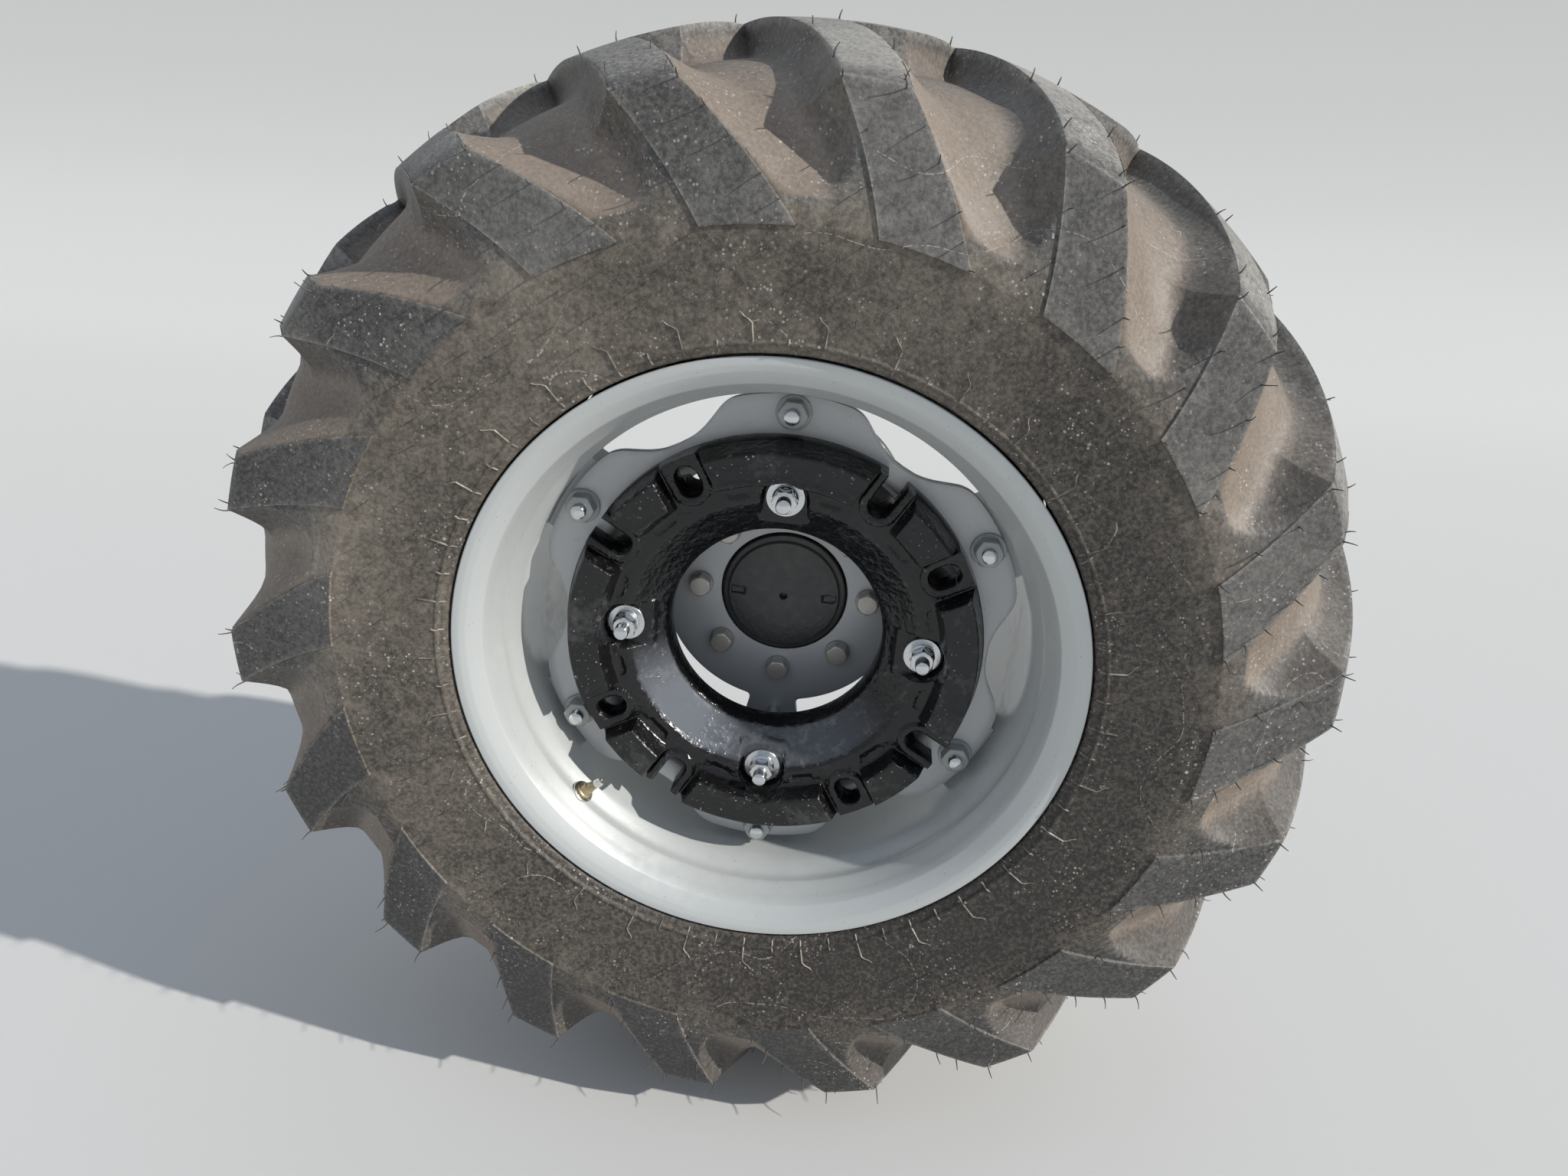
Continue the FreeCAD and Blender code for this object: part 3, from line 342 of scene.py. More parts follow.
def tyre_side():
    """One half of the tyre, from a bead over the shoulder to just past the middle, as a grid of
    rows across it and columns round the wheel: insets, radii, angles and the finish's values.

    Every row has an outer place, on the side wall, the facets and the lugs' tops, and a place on
    the pocket's floor. Between two lugs a point moves from the first to the second by a share: a
    quarter of a sine from the steep side, times one from the gentle side, times a quarter of an
    ellipse from the pocket's lip, whose radius is read off a short table of the share across.
    Over the crown both sides turn steep. Along counts the rows: 0 to 1 up the facet, then a
    hundredth for each millimetre over the crown."""
    bead = smoothed([(9, 332.6), (3, 333.4), (-0.5, 335.6), (-2.2, 338.5), (-3.6, 341.5),
                     (-6.4, 343), (-7.4, 345.2), (-6.6, 347.6), (-7.4, 352), (-10, 370),
                     (-14.5, 400), (-19.3, 430), (-21.3, 448.4)], 3)
    share = np.concatenate([[0.004], np.linspace(0.02, 0.2, 7), np.linspace(0.225, 0.6, 18),
                            np.linspace(0.63, 0.975, 13)])
    facet = np.stack([-23.6 + 23.6 * share, 449 + 122 * share], -1)
    shoulder = np.array([(-0.25, 569.9), (0.35, 571.1)])
    inset = np.concatenate([[1.4], np.linspace(4, 232, 34), [238, 243, 247, 250, 252, 253.5, 255,
                            256, 257, 258.5, 260.5, 263, 266, 270, 276]])
    outer = np.vstack([bead, facet, shoulder, np.stack([inset, lug_top(inset)], -1)])
    outer_inset, outer_radius = outer[:, :1], outer[:, 1:]
    on_bead = np.arange(len(outer))[:, None] < len(bead)
    along = np.concatenate([np.zeros(len(bead)), share, [0.992, 1], 1 + inset / 100])[:, None]
    floor = smoothed([(0, -21.2, 449), (0.13, -19.2, 463.5), (0.2, -15, 470),
                      (0.295, -7.5, 479.5), (0.45, 3.5, 494), (0.6, 13.5, 508.5),
                      (0.8, 26, 524.5), (1, 37.5, 539.5), (1.25, 51, 552.5), (1.5, 67, 563.5),
                      (2.05, 107, 578.5), (3.03, 203, 587), (3.8, 280, 583)], 6)
    drop = np.hstack([np.interp(along, floor[:, 0], floor[:, k]) for k in (1, 2)]) - outer
    lean = np.interp(along, [0, 0.3, 1, 1.25, 1.5, 2.05, 3.03], [11, 16, 52, 61, 69, 87, 90])
    centre = np.where(along > 1, lug_angle(outer_inset), np.interp(along, [0, 1], [73.95, 82.9]))
    half = np.where(along > 1, np.interp(outer_inset, [0, 250], [30.5, 32.5]),
                    np.interp(along, [0, 1], [42, 30.5]))
    half = np.where(on_bead, outer_radius * math.radians(5.35), half)
    whole = 2 * math.pi * outer_radius / LUGS

    lug = np.array([0.0, 0.3, 0.6, 0.85, 0.955, 0.985])
    gap = np.array([0, 0.005, 0.013, 0.026, 0.045, 0.072, 0.105, 0.15, 0.21, 0.28, 0.36, 0.45,
                    0.54, 0.63, 0.72, 0.80, 0.87, 0.925, 0.962, 0.985, 0.995, 1])
    side = np.hstack([half * lug, half + (whole - 2 * half) * gap, whole - half * lug[:0:-1]])
    steep, gentle = side - half, whole - half - side
    nearest = np.minimum(steep, gentle)
    between = nearest > 0
    reach_gentle = np.interp(along, [0, 0.5, 1, 1.5, 2.4], [46, 60, 74, 62, 24])
    reach_steep = np.interp(along, [0, 1, 1.5, 2.4], [34, 42, 36, 20])
    lip = np.interp(steep / (whole - 2 * half), *LIP.T)
    past_lip = np.where(along > 1, 99, outer_radius - lip)
    over = ramp(along, 1.3, 2.4)
    sides = [np.sin(np.pi / 2 * np.clip(from_side / reach, 0, 1)) * (1 - over)
             + quarter(from_side, reach) * over
             for from_side, reach in ((steep, reach_steep), (gentle, reach_gentle))]
    end = quarter(outer_inset - 256, 14)
    opened = np.where(between & ~on_bead, sides[0] * sides[1] * quarter(past_lip, 22), 0)
    opened = 1 - (1 - opened) * (1 - end)
    worn = 2.0 * (1 - quarter(-np.minimum(nearest, 0), 3.0))
    worn = np.where((nearest < 0) | (end > 0), worn, 0) * (along > 1)
    depth = np.maximum(2.2 * np.clip(nearest / 0.9, 0, 1), worn)
    depth = (np.maximum(depth - np.hypot(*drop.T)[:, None] * opened, 0)
             + 2.4 * ramp(outer_inset, 185, 225) * opened)
    depth = np.where(on_bead, 0, depth)

    inner = smoothed([(276, 566), (203, 560), (110, 552), (50, 522), (12, 470), (2, 420),
                      (8, 370), (20, 346), (16, 336)], 1)
    columns = side.shape[1]
    within = np.repeat(inner.T[..., None], columns, 2)
    insets = outer_inset + drop[:, :1] * opened + depth * np.cos(np.radians(lean))
    radii = outer_radius + drop[:, 1:] * opened - depth * np.sin(np.radians(lean))
    degrees = centre + np.degrees(side / outer_radius)
    places = [np.vstack([insets, within[0]]), np.vstack([radii, within[1]]),
              np.vstack([degrees, np.repeat(degrees[:1], len(inner), 0)])]

    scoop = ramp(gentle, 0, 2.5) * ramp(past_lip, 0, 2.5) * between * (along > 0.2)
    scoop = scoop * (0.25 + 0.75 * ramp(steep / reach_steep, 0.55, 1.0)) * (1 - 0.45 * over)
    # Painted highlight: a thin pale line on each pocket's lip, and a pale streak before each valley
    # that is partly dust and partly painted highlight.
    pale = (0.42 * ridge(past_lip - 1.2, 1.9) * (steep > 4) * (gentle > 4)
            + 0.30 * ridge(steep - reach_steep - 3, 8) * (opened > 0.3))
    # Pale lines along the lugs' edges and the shoulder: partly wear, partly painted highlight.
    edge_wear_and_highlight = np.exp(nearest / 1.4) + 0.6 * np.exp(-122 * np.abs(along - 1) / 2.5)
    edge_wear_and_highlight = 0.8 * np.where(between | on_bead, 0, edge_wear_and_highlight) * (along < 1.02)
    # The crown values: the dust crust on the lugs' tops, with the painted highlights above added to
    # it.
    top = (np.where(between, 1 - ramp(opened, 0.02, 0.12), 1) * ramp(along, 1.0, 1.3)
           + pale * (along < 1.7) * between + edge_wear_and_highlight)
    wall = 1 - ramp(along, 0.0, np.where(between, 0.55, 0.02))
    band = ridge(outer_radius - 462, 34) * np.where(between, 1, 0.45)
    values = [np.vstack([grid, 0 * within[0]]) for grid in (scoop, top, wall, band)]
    rows = [np.concatenate([grid] * LUGS, 1) for grid in places + values]
    rows[2] = rows[2] + np.repeat(np.arange(LUGS) * PITCH, columns)
    return rows


def hairs(radius, inset, degrees, length, lean, spin, radial):
    """Thin rubber spikes: each is a bent cone of four rings of four points, 0.9 mm in radius at
    the foot and half that at the tip. Its middle line is a parabola from the axle's direction, or
    the radial one by a share, bent to the side that the spin angle tells."""
    radius, inset, degrees, length, lean, spin, radial = (
        row.reshape(-1, 1, 1)
        for row in np.broadcast_arrays(radius, inset, degrees, length, lean, spin, radial))
    share = np.array([-0.15, 0.35, 0.7, 1.0])[:, None]
    size = 0.9 * (1 - 0.5 * np.clip(share, 0, 1))
    x, z = polar(1, degrees)
    outwards, around = np.stack([x, 0 * x, z], -1), np.stack([-z, 0 * x, x], -1)
    way = outwards * radial[..., None] - np.array([0, 1.0, 0]) * (1 - radial[..., None])
    way = way / np.linalg.norm(way, axis=-1, keepdims=True)
    bend = lean * share ** 2 * length
    corner_x, corner_y = polar(size, np.array([0, 90, 180, 270]))
    bend_x, bend_y = polar(bend, spin)
    points = (placed(radius, inset, degrees) * 1000 + (bend_x + corner_x)[..., None] * around
              + (bend_y + corner_y)[..., None] * np.cross(around, way)
              + (share * length)[..., None] * way)
    points, quads, caps = tubes(points / 1000)
    return outward((points, np.vstack([quads, caps])))


def wall_inset(radius):
    """Inset of the side wall's surface at a radius between the bead and the facets."""
    return np.interp(radius, [334, 338, 342, 345.5, 348, 352, 370, 400, 430, 449],
                     [0, -2, -4.5, -7.4, -6.7, -7.4, -10, -14.5, -19.3, -21.3])


def bead_ticks():
    """Thin ribs across the bead's rib: each follows the side wall outwards, and every second one
    is long and hooked. Its section is a triangle 2 mm wide and 1.6 mm high."""
    order = np.arange(66)[:, None, None]
    share = np.linspace(0, 1, 12)[:, None]
    radius = 337 + (np.where(order % 2, 373.0, 349.5) - 337) * share
    hook = np.where(order % 2, 1.5, 0.0) * ramp(share, 0.72, 1.0)
    up = np.array([0.25, -1.6, 0.25]) * np.sin(np.pi * np.clip(share, 0.06, 0.94)) ** 0.3
    degrees = order * 360 / 66 + 1.2 + hook + np.degrees(np.array([-1.0, 0, 1.0]) / radius)
    return tubes(placed(radius, wall_inset(radius) + up, degrees))


def mirrored(part):
    """The part's mirror image in the wheel's middle, turned about the axle by half a pitch."""
    x, y, z = part[0].T
    turn_x, turn_z = polar(1, PITCH / 2)
    flipped = [x * turn_x - z * turn_z, 2 * (MIDDLE - FACE_OUT) / 1000 - y,
               x * turn_z + z * turn_x]
    return np.stack(flipped, -1), part[1][:, ::-1]


def make_tyre(finish, hair_finish, rib_finish):
    """Tyre from one half and its mirror image, with its hairs and the bead's ribs. Dust follows a
    cosine of the angle round the wheel, with its peak at 125 degrees on the wall and at 75 on the
    lugs. Each spot of a hair is a radius, an inset, an angle, a length and how radial it is."""
    insets, radii, degrees, pocket, crown, wall, band = tyre_side()
    on_wall, on_lugs = (np.cos(np.radians(degrees - peak)) for peak in (125, 75))
    dusty = 0.35 * band + wall * (0.40 + 0.31 * on_wall) + (1 - wall) * (0.34 + 0.33 * on_lugs)
    half = outward(sheet(placed(radii, insets, degrees).transpose(1, 0, 2)))
    values = {"pocket": pocket.T, "crown": crown.T, "wall": wall.T, "dusty": dusty.T}
    for name, part in (("tyre_outer_half", half), ("tyre_inner_half", mirrored(half))):
        piece(name, [part], finish, ["tyre"], crease=38, values=values)

    spots = [(451, -23.2, 68.8, 13, 0), (451, -23.2, 79.1, 13, 0), (470, -19.5, 70.5, 12, 0),
             (490, -15.7, 72.6, 14, 0.1), (490, -15.7, 81.9, 14, 0.1), (520, -9.9, 75.4, 15, 0.1),
             (532, -7.5, 83.4, 14, 0.1), (545, -5.0, 77.6, 14, 0.2), (569, -0.4, 80.0, 14, 0.4),
             (569, -0.4, 85.8, 14, 0.4), (430, -19.3, 72, 10, 0), (430, -19.3, 77, 10, 0),
             (412, -16.5, 66, 10, 0), (398, -14.2, 75, 9, 0), (425, -18.5, 83.5, 10, 0),
             (392, -13.3, 69, 8, 0), (376, -10.9, 79, 8, 0), (404, -15.1, 81, 8, 0)]
    spots += [(lug_top(inset) - 0.8, inset, lug_angle(inset) + side, 9, 1)
              for inset, side in ((8, -2.6), (30, 2.6), (62, -2.6), (110, 2.6), (170, -2.6))]
    radius, inset, angle, length, radial = np.array(spots).T
    turns = np.arange(LUGS)[:, None] * PITCH
    draw = np.random.default_rng(SEED)
    vary = draw.uniform(-1, 1, (LUGS, len(spots)))
    spikes = hairs(radius, inset, angle + turns + 0.5 * vary, length * (1 + 0.2 * vary),
                   0.22 + 0.2 * vary, draw.uniform(0, 360, vary.shape), radial)
    piece("tyre_vent_hairs", [spikes, mirrored(spikes)], hair_finish)
    points, quads, caps = bead_ticks()
    ribs = [(points, quads), (points, caps)]
    piece("tyre_bead_ribs", ribs + [mirrored(part) for part in ribs], rib_finish)


# -------- rim and disc

def make_rim(finish):
    """Rolled rim: its inner side is a curve through the measured places, mirrored in the middle,
    and its outer side is the same curve moved out by the plate's 4.6 mm."""
    flange = rounded([(2.2, 331.6), (0.2, 330.4), (1.0, 323), (3.6, 316.2), (7.4, 311),
                      (14.6, 302.2), (26, 296.4)], 1.6, 4)[2:-2]
    seat = smoothed([(30, 294.6), (40, 290), (44, 288.7), (48, 289.3), (53, 289.4), (58, 287.6),
                     (66, 283.6), (76, 279.4), (88, 278.1), (110, 278), (MIDDLE, 278)], 4)
    half = np.vstack([flange, seat])
    inner = np.vstack([half, half[-2::-1] * [-1, 1] + [2 * MIDDLE, 0]])
    section = np.vstack([inner, (inner + 4.6 * normals(inner))[::-1]])
    piece("rim_shell", [turned(section, 240)], finish, ["rim"], crease=40)


def disc_edge(degrees):
    """Radius of the disc's edge: it follows six lobes, whose half outline is read off a short
    table of angle from the lobe's middle and radius."""
    off = np.abs((degrees - FIRST_BOLT - 30) % 60 - 30)
    table = smoothed([(0, 271.3), (5, 271.0), (10, 270.2), (13.6, 268.6), (16.4, 263.5),
                      (19.5, 253.0), (22.5, 244.2), (26, 238.3), (30, 236.6)], 6)
    return np.interp(off, table[:, 0], table[:, 1])


def disc_openings(across, up):
    """Distance from the hub plate's four kidney openings and its slot: kidneys are round-cornered
    rectangles bent along the circle of 162.8 mm."""
    bend = 162.8
    radius, degrees = np.hypot(across, up), np.degrees(np.arctan2(up, across))
    gaps = [box_gap(np.radians((degrees - middle + 180) % 360 - 180) * bend, radius - bend,
                    math.radians(28) * bend, 14.8, 6) for middle in (49, 130, 228, 306)]
    side, out = own_frame(across, up, 268)
    return np.minimum.reduce([*gaps, box_gap(side, out - 183.5, 3.2, 24, 2)])


def make_disc(finish):
    """Pressed disc: rows follow its section from the pilot hole over the hub plate, up the dish
    and out to the edge, and the back lies 11 mm behind."""
    section = rounded([(225, 76.8), (225, 182), (108, 212), (108, 240)], [0, 9, 11, 0], 9)[9:27]
    plate = np.stack([np.full(40, 225.0), np.linspace(76.8, 172, 40)], -1)
    dish = section[8] + (section[9] - section[8]) * np.linspace(0, 1, 10)[1:-1, None]
    ring = np.stack([np.full(10, 108.0), np.linspace(224, 270, 10)], -1)
    line = np.vstack([plate, section[:9], dish, section[9:], ring])
    inset, radius = line.T[:, None]
    on_plate = radius < 172.5
    beyond = np.clip((radius - 224) / 46, 0, 1)
    degrees = circle(432)
    radius = np.where(beyond > 0, 224 + beyond * (disc_edge(degrees) - 224), radius)
    across, up = polar(radius, degrees)
    moved_x, moved_y, _ = settled(across, up, disc_openings, 2.4)
    across, up = np.where(on_plate, moved_x, across), np.where(on_plate, moved_y, up)
    gap = on_edge(disc_openings(across, up))
    worn = 0.9 * (1 - ramp(gap, -0.2, 1.6)) + 1.1 * ramp(beyond, 0.96, 1.0) * (beyond > 0)
    behind = -11 * normals(line)
    grown = 1 + behind[:, 1] / np.hypot(across, up)
    back = at(across * grown, inset + behind[:, 0], up * grown)
    piece("wheel_disc_pressing", [pierced(at(across, inset + worn, up), back, gap)], finish,
          ["wheel_disc"], crease=34)


# -------- weight

def weight_columns():
    """Polar grid of the weight in twelve sectors, one for each slot and bolt. Near the middle of
    a sector its columns run beside the slot's own line instead of towards the axle, so the sides
    of the slots, plates and pads follow them."""
    slot_out = 205
    side = np.array([0, 3.5, 7, 9.5, 11.3, 12.5, 13.4, 15, 17.5, 19.6, 20.7, 21.5, 22.4, 24, 25.6,
                     26.4, 27.2, 28, 28.9, 29.8, 30.8, 32.5, 36, 41, 47])
    half = np.degrees(np.arcsin(side / slot_out))
    sector = np.concatenate([-half[:0:-1], half, [15]])
    off = np.tile(sector, 12)[:, None]
    middle = np.repeat(28 + 30 * np.arange(12), len(sector))[:, None]
    radius = np.concatenate([
        [120, 120.7, 122, 124.5, 128, 131.5, 133.4, 134.6, 136, 139, 142.5, 146, 150, 154, 158,
         160.6, 162.2, 163.4, 164.8, 167, 169.5, 172, 174, 176, 178, 180, 181.8, 183.2, 184.3,
         185.4, 186.4, 187.3, 188.2, 189.6, 191, 193, 195.5], np.arange(198, 217, 2.6),
        [218.6, 220.4, 221.6, 222.5, 223.4, 224.4, 225.6, 226.6, 227.6, 228.6, 229.2, 229.5]])
    beside = np.degrees(np.arcsin(slot_out * np.sin(np.radians(off)) / radius))
    return polar(radius, middle + toward(off, beside, 1 - ramp(np.abs(off), 8.7, 15)))


def weight_openings(across, up):
    """Distance from the slots: four are closed, and four run out through the edge."""
    gaps = []
    for place, degrees in enumerate(SLOTS):
        side, out = own_frame(across, up, degrees)
        gaps.append(np.hypot(side, out - np.clip(out, 197.5, 207.5 if place < 4 else 260)) - 12.5)
    return np.minimum.reduce(gaps)


def weight_front(across, up):
    """Inset of the weight's front: a cone and a flat ring, with a low plate round each slot,
    high pads between the slots, and a recess with a pad in it for each bolt."""
    radius = np.hypot(across, up)
    face = np.maximum(163 - radius, 0) * 35 / 43 + 80 + 0.5 * ridge(radius - 163, 1.6)
    face += 3.5 * (1 - ramp(radius, 120, 123.5)) ** 2 + 4.5 * ramp(radius, 226.5, 229.5) ** 2
    for degrees in SLOTS:
        side, out = own_frame(across, up, degrees)
        plate = np.hypot(side, np.minimum(out - 197.5, 0)) - 21.5
        level = 76 - 0.8 * ridge(plate + 2.6, 1.4)
        face = np.where(out > 150, toward(face, level, 1 - ramp(plate, -0.8, 1.1)), face)
    beside, from_bolt = beside_rays(across, up, SLOTS), beside_rays(across, up, BOLTS)
    groove = np.maximum.reduce([170.5 - radius, radius - 178, 37 - from_bolt, 31 - beside])
    face += 1.6 * (1 - ramp(groove, -1.6, 1.0))
    pad = np.maximum.reduce([0.55 * (187.4 - radius), 0.6 * (radius - 222.6), 27.3 - beside])
    step = 1 - ramp(pad, -1.0, 3.6)
    face -= step * (face - 56 + 0.7 * ridge(pad + 2.2, 1.5))
    for degrees in BOLTS:
        side, out = own_frame(across, up, degrees)
        block = 1 - ramp(box_gap(side, out - 165, 27.5, 31, 3), -1.2, 1.6)
        face = np.where(out > 0, toward(face, np.minimum(96, face), block), face)
        dip = 1 - ramp(np.hypot(side, np.maximum(out - 164.6, 0)) - 25.6, -2.4, 1.6)
        face = np.where(out > 100, toward(face, np.maximum(96, face), dip), face)
        plug = np.hypot(side, out - 203.5) - 8.5
        face = np.where(out > 0, face - 0.8 * ridge(plug, 1.1), face)
    return face


def make_weight(finish):
    """Cast ring weight: its front is a height over a grid, the slots are left open, and its back
    is flat with a spigot that reaches into the dish. Waves of random direction roughen it."""
    across, up, gap = settled(*weight_columns(), weight_openings, 1.5)
    shrink = np.minimum(1, 229.5 / np.hypot(across, up))
    across, up = across * shrink, up * shrink
    radius = np.hypot(across, up)
    face = weight_front(across, up) + 1.5 * (1 - ramp(gap, 0, 2.0))
    draw = np.random.default_rng(SEED)
    for x, z, start, high in draw.normal(size=(30, 4)):
        wave = np.sin(0.11 * x * across + 0.11 * z * up + 6 * start)
        face += 0.05 * high * wave * ramp(gap, 0, 3)
    rear = np.clip(107.7 + (206 - radius) * 3.9, 107.7, 141.5)
    beyond = np.pad(face, ((0, 0), (1, 1)), mode="edge")
    around_it = (beyond[:, :-2] + beyond[:, 2:] + np.roll(face, 1, 0) + np.roll(face, -1, 0)) / 4
    degrees = np.degrees(np.arctan2(up, across)) % 360
    # Where a grey-blue reflection of the sky is painted onto the low side of the cone.
    painted_sheen = ridge(degrees - 222, 33) + 0.62 * ridge(degrees - 295, 42)
    painted_sheen = painted_sheen * ramp(radius, 121, 125) * (1 - ramp(radius, 156, 164)) * (face < 117) * (face > 80)
    # The edge value marks convex edges, whose colour is lightened by worn paint and by a painted
    # glint.
    values = {"raised": 1 - ramp(face, 57, 66), "painted_sheen": painted_sheen,
              "edge": np.clip((around_it - face) / 0.5, 0, 1)}
    piece("cast_weight", [pierced(at(across, face, up), at(across, rear, up), gap)], finish,
          ["wheel_weight"], crease=60, values=values)


# -------- fasteners in place

def make_fasteners(zinc, painted, weathered):
    """Nuts, washers, bolt ends and heads. Each is drawn once about the axle and set at its inset
    on a circle, which has a count, a radius and the first one's angle."""
    def shank(length):
        return disc_part([(-length, 0), (-length, 8), (0, 8), (0, 0)], 24)

    washer = disc_part([(0, 8.6), (0, 20.4), (0.7, 20.8), (3.3, 20.8), (4, 20.3), (4, 8.6)], 72)
    collar = disc_part([(0, 7), (0, 13.6), (0.8, 14), (2.6, 14), (4, 12.4), (4, 7)])
    wide_washer = disc_part([(0, 8.4), (0, 18.6), (0.6, 19), (2.6, 19), (3.2, 18.5), (3.2, 8.4)],
                            60)
    hub_washer = disc_part([(0, 6), (0, 14.8), (0.5, 15.1), (2.4, 15.1), (3, 14.6), (3, 6)])
    on_weight, on_lobes, on_hub = (4, 164.6, FIRST_BOLT), (6, 253, FIRST_BOLT), (8, 101.6, 43)
    rows = [
        ("weight_washer_set", "weight_washers", "zinc", zinc, 32, on_weight, [(washer, 96)]),
        ("weight_nut_set", "weight_nuts", "zinc", zinc, 32, on_weight,
         [(collar, 92), (hexagon_body(24, 14, 0.07), 88)]),
        ("weight_bolt_set", "weight_bolts", "zinc", zinc, 50, on_weight,
         [(thread(8, 0, 14), 74), (shank(170), 74), (hexagon_body(24, 10, 0.08), 246)]),
        ("disc_nut_set", "disc_nuts", "grey_bolts", painted, 32, on_lobes,
         [(wide_washer, 108), (hexagon_body(28, 14.4, 0.08), 104.8)]),
        ("disc_bolt_set", "disc_bolts", "grey_bolts", zinc, 50, on_lobes,
         [(thread(8.2, 0, 9), 90.4), (shank(42), 90.4), (hexagon_body(28, 10, 0.08), 141.3)]),
        ("hub_washer_set", "hub_bolts", "grey_bolts", painted, 32, on_hub, [(hub_washer, 225)]),
        ("hub_bolt_set", "hub_bolts", "grey_bolts", weathered, 22, on_hub,
         [(hexagon_body(24, 12, 0.09), 222), (shank(35), 225)])]
    for name, stands_for, slot, finish, crease, places, parts in rows:
        piece(name, [ringed(part, inset, *places) for part, inset in parts], finish,
              [stands_for], crease=crease)


# -------- axle, housing and valve

def make_axle(finish):
    """Axle: the boss's front is a polar grid with a dome, a step, a centre hole and two marks,
    and the rest is turned, with twenty spline grooves at the inner end."""
    radius = np.concatenate([[0, 1.5, 3.2, 4.2, 5.0], np.linspace(6.5, 64, 38),
                             [65.4, 66.2, 66.9, 67.6, 68.4, 70, 72, 73.2, 74.0, 74.4]])
    degrees = circle(240)
    across, up = polar(radius, degrees)
    inset = 212 + 5 * (radius / 66) ** 2 + 3.2 * ramp(radius, 65.4, 68.0)
    inset = inset + 8 * (1 - ramp(radius, 3.2, 5.0)) + 1.6 * ramp(radius, 72.4, 74.4) ** 2
    for mark_angle in (-2, 178):
        slide, out = own_frame(across, up, mark_angle)
        mark = box_gap(slide, out - 55, 4.5, 8.5, 1.2)
        inset = inset + 3.0 * (1 - ramp(mark, -1.2, 0.8)) * (out > 0)
    rest = rounded([(223, 74.4), (236.3, 74.4), (236.3, 130), (260.3, 130), (260.3, 56),
                    (268, 50), (287, 50), (287, 44.9), (560, 44.9), (560, 40)],
                   [0, 1, 1.5, 2.5, 8, 5, 1, 1, 2, 1], 5)[5:-5]
    rest = np.vstack([(221.8, 74.4), rest, (561, 31)])
    spline_inset = np.array([561, 562, 600, 619, 621.5, 622, 622.0])
    spline_out = np.array([31, 33, 36, 36, 35, 33, 0.0])
    groove = 1 - ramp(np.abs(degrees % 18 - 9), 4.0, 4.9)
    spline_out = np.maximum(spline_out - 4 * groove * (spline_out > 30), 0)
    grid = np.hstack([at(across, inset, up), placed(rest[:, 1], rest[:, 0], degrees),
                      placed(spline_out, spline_inset, degrees)])
    piece("axle_forging", [outward(sheet(grid, along=False))], finish,
          ["axle_shaft"], crease=36)


def make_housing(finish, zinc):
    """Housing: a turned trumpet with filleted edges, joined to a flange with eight holes of 14 mm
    on a circle of 252 mm, and its cover with six screws."""
    trumpet = rounded([(287.3, 46), (287.3, 92), (353, 92), (378, 74), (482, 74), (524, 92),
                       (548, 100), (552, 52), (552, 46)],
                      [0, 2.5, 9, 22, 40, 20, 2, 2, 0], 7)

    def holes(x, y):
        off = (np.degrees(np.arctan2(y, x)) - 90 + 22.5) % 45 - 22.5
        out, side = polar(np.hypot(x, y), off)
        return np.hypot(out - 126, side) - 7

    across, up = polar(np.linspace(46, 148, 44), circle(320))
    across, up, gap = settled(across, up, holes, 1.7)
    edge = ramp(np.hypot(across, up), 145.6, 148) ** 2
    worn = 1.2 * (1 - ramp(gap, 0, 1.8)) + 2.2 * edge
    flange = pierced(at(across, 540 + worn, up), at(across, 560 - 0.6 * edge, up), gap)
    piece("housing_casting", [turned(trumpet, 120), flange], finish,
          ["axle_housing"], "housing", crease=36)
    cover = turned(rounded([(275.3, 51.2), (275.3, 91.4), (287, 91.4), (287, 51.2)], 2, 4), 120)
    piece("seal_retainer", [cover], finish, ["bearing_retainer"], "housing")
    collar = disc_part([(0, 3), (0, 8.4), (0.7, 9), (1.4, 9), (1.6, 8.2), (1.6, 3)], 36)
    screws = [ringed(part, inset, 6, 80, 60)
              for part, inset in ((collar, 275.3), (hexagon_body(13, 5.6, 0.1), 273.7))]
    piece("retainer_screws", screws, zinc, body="housing")


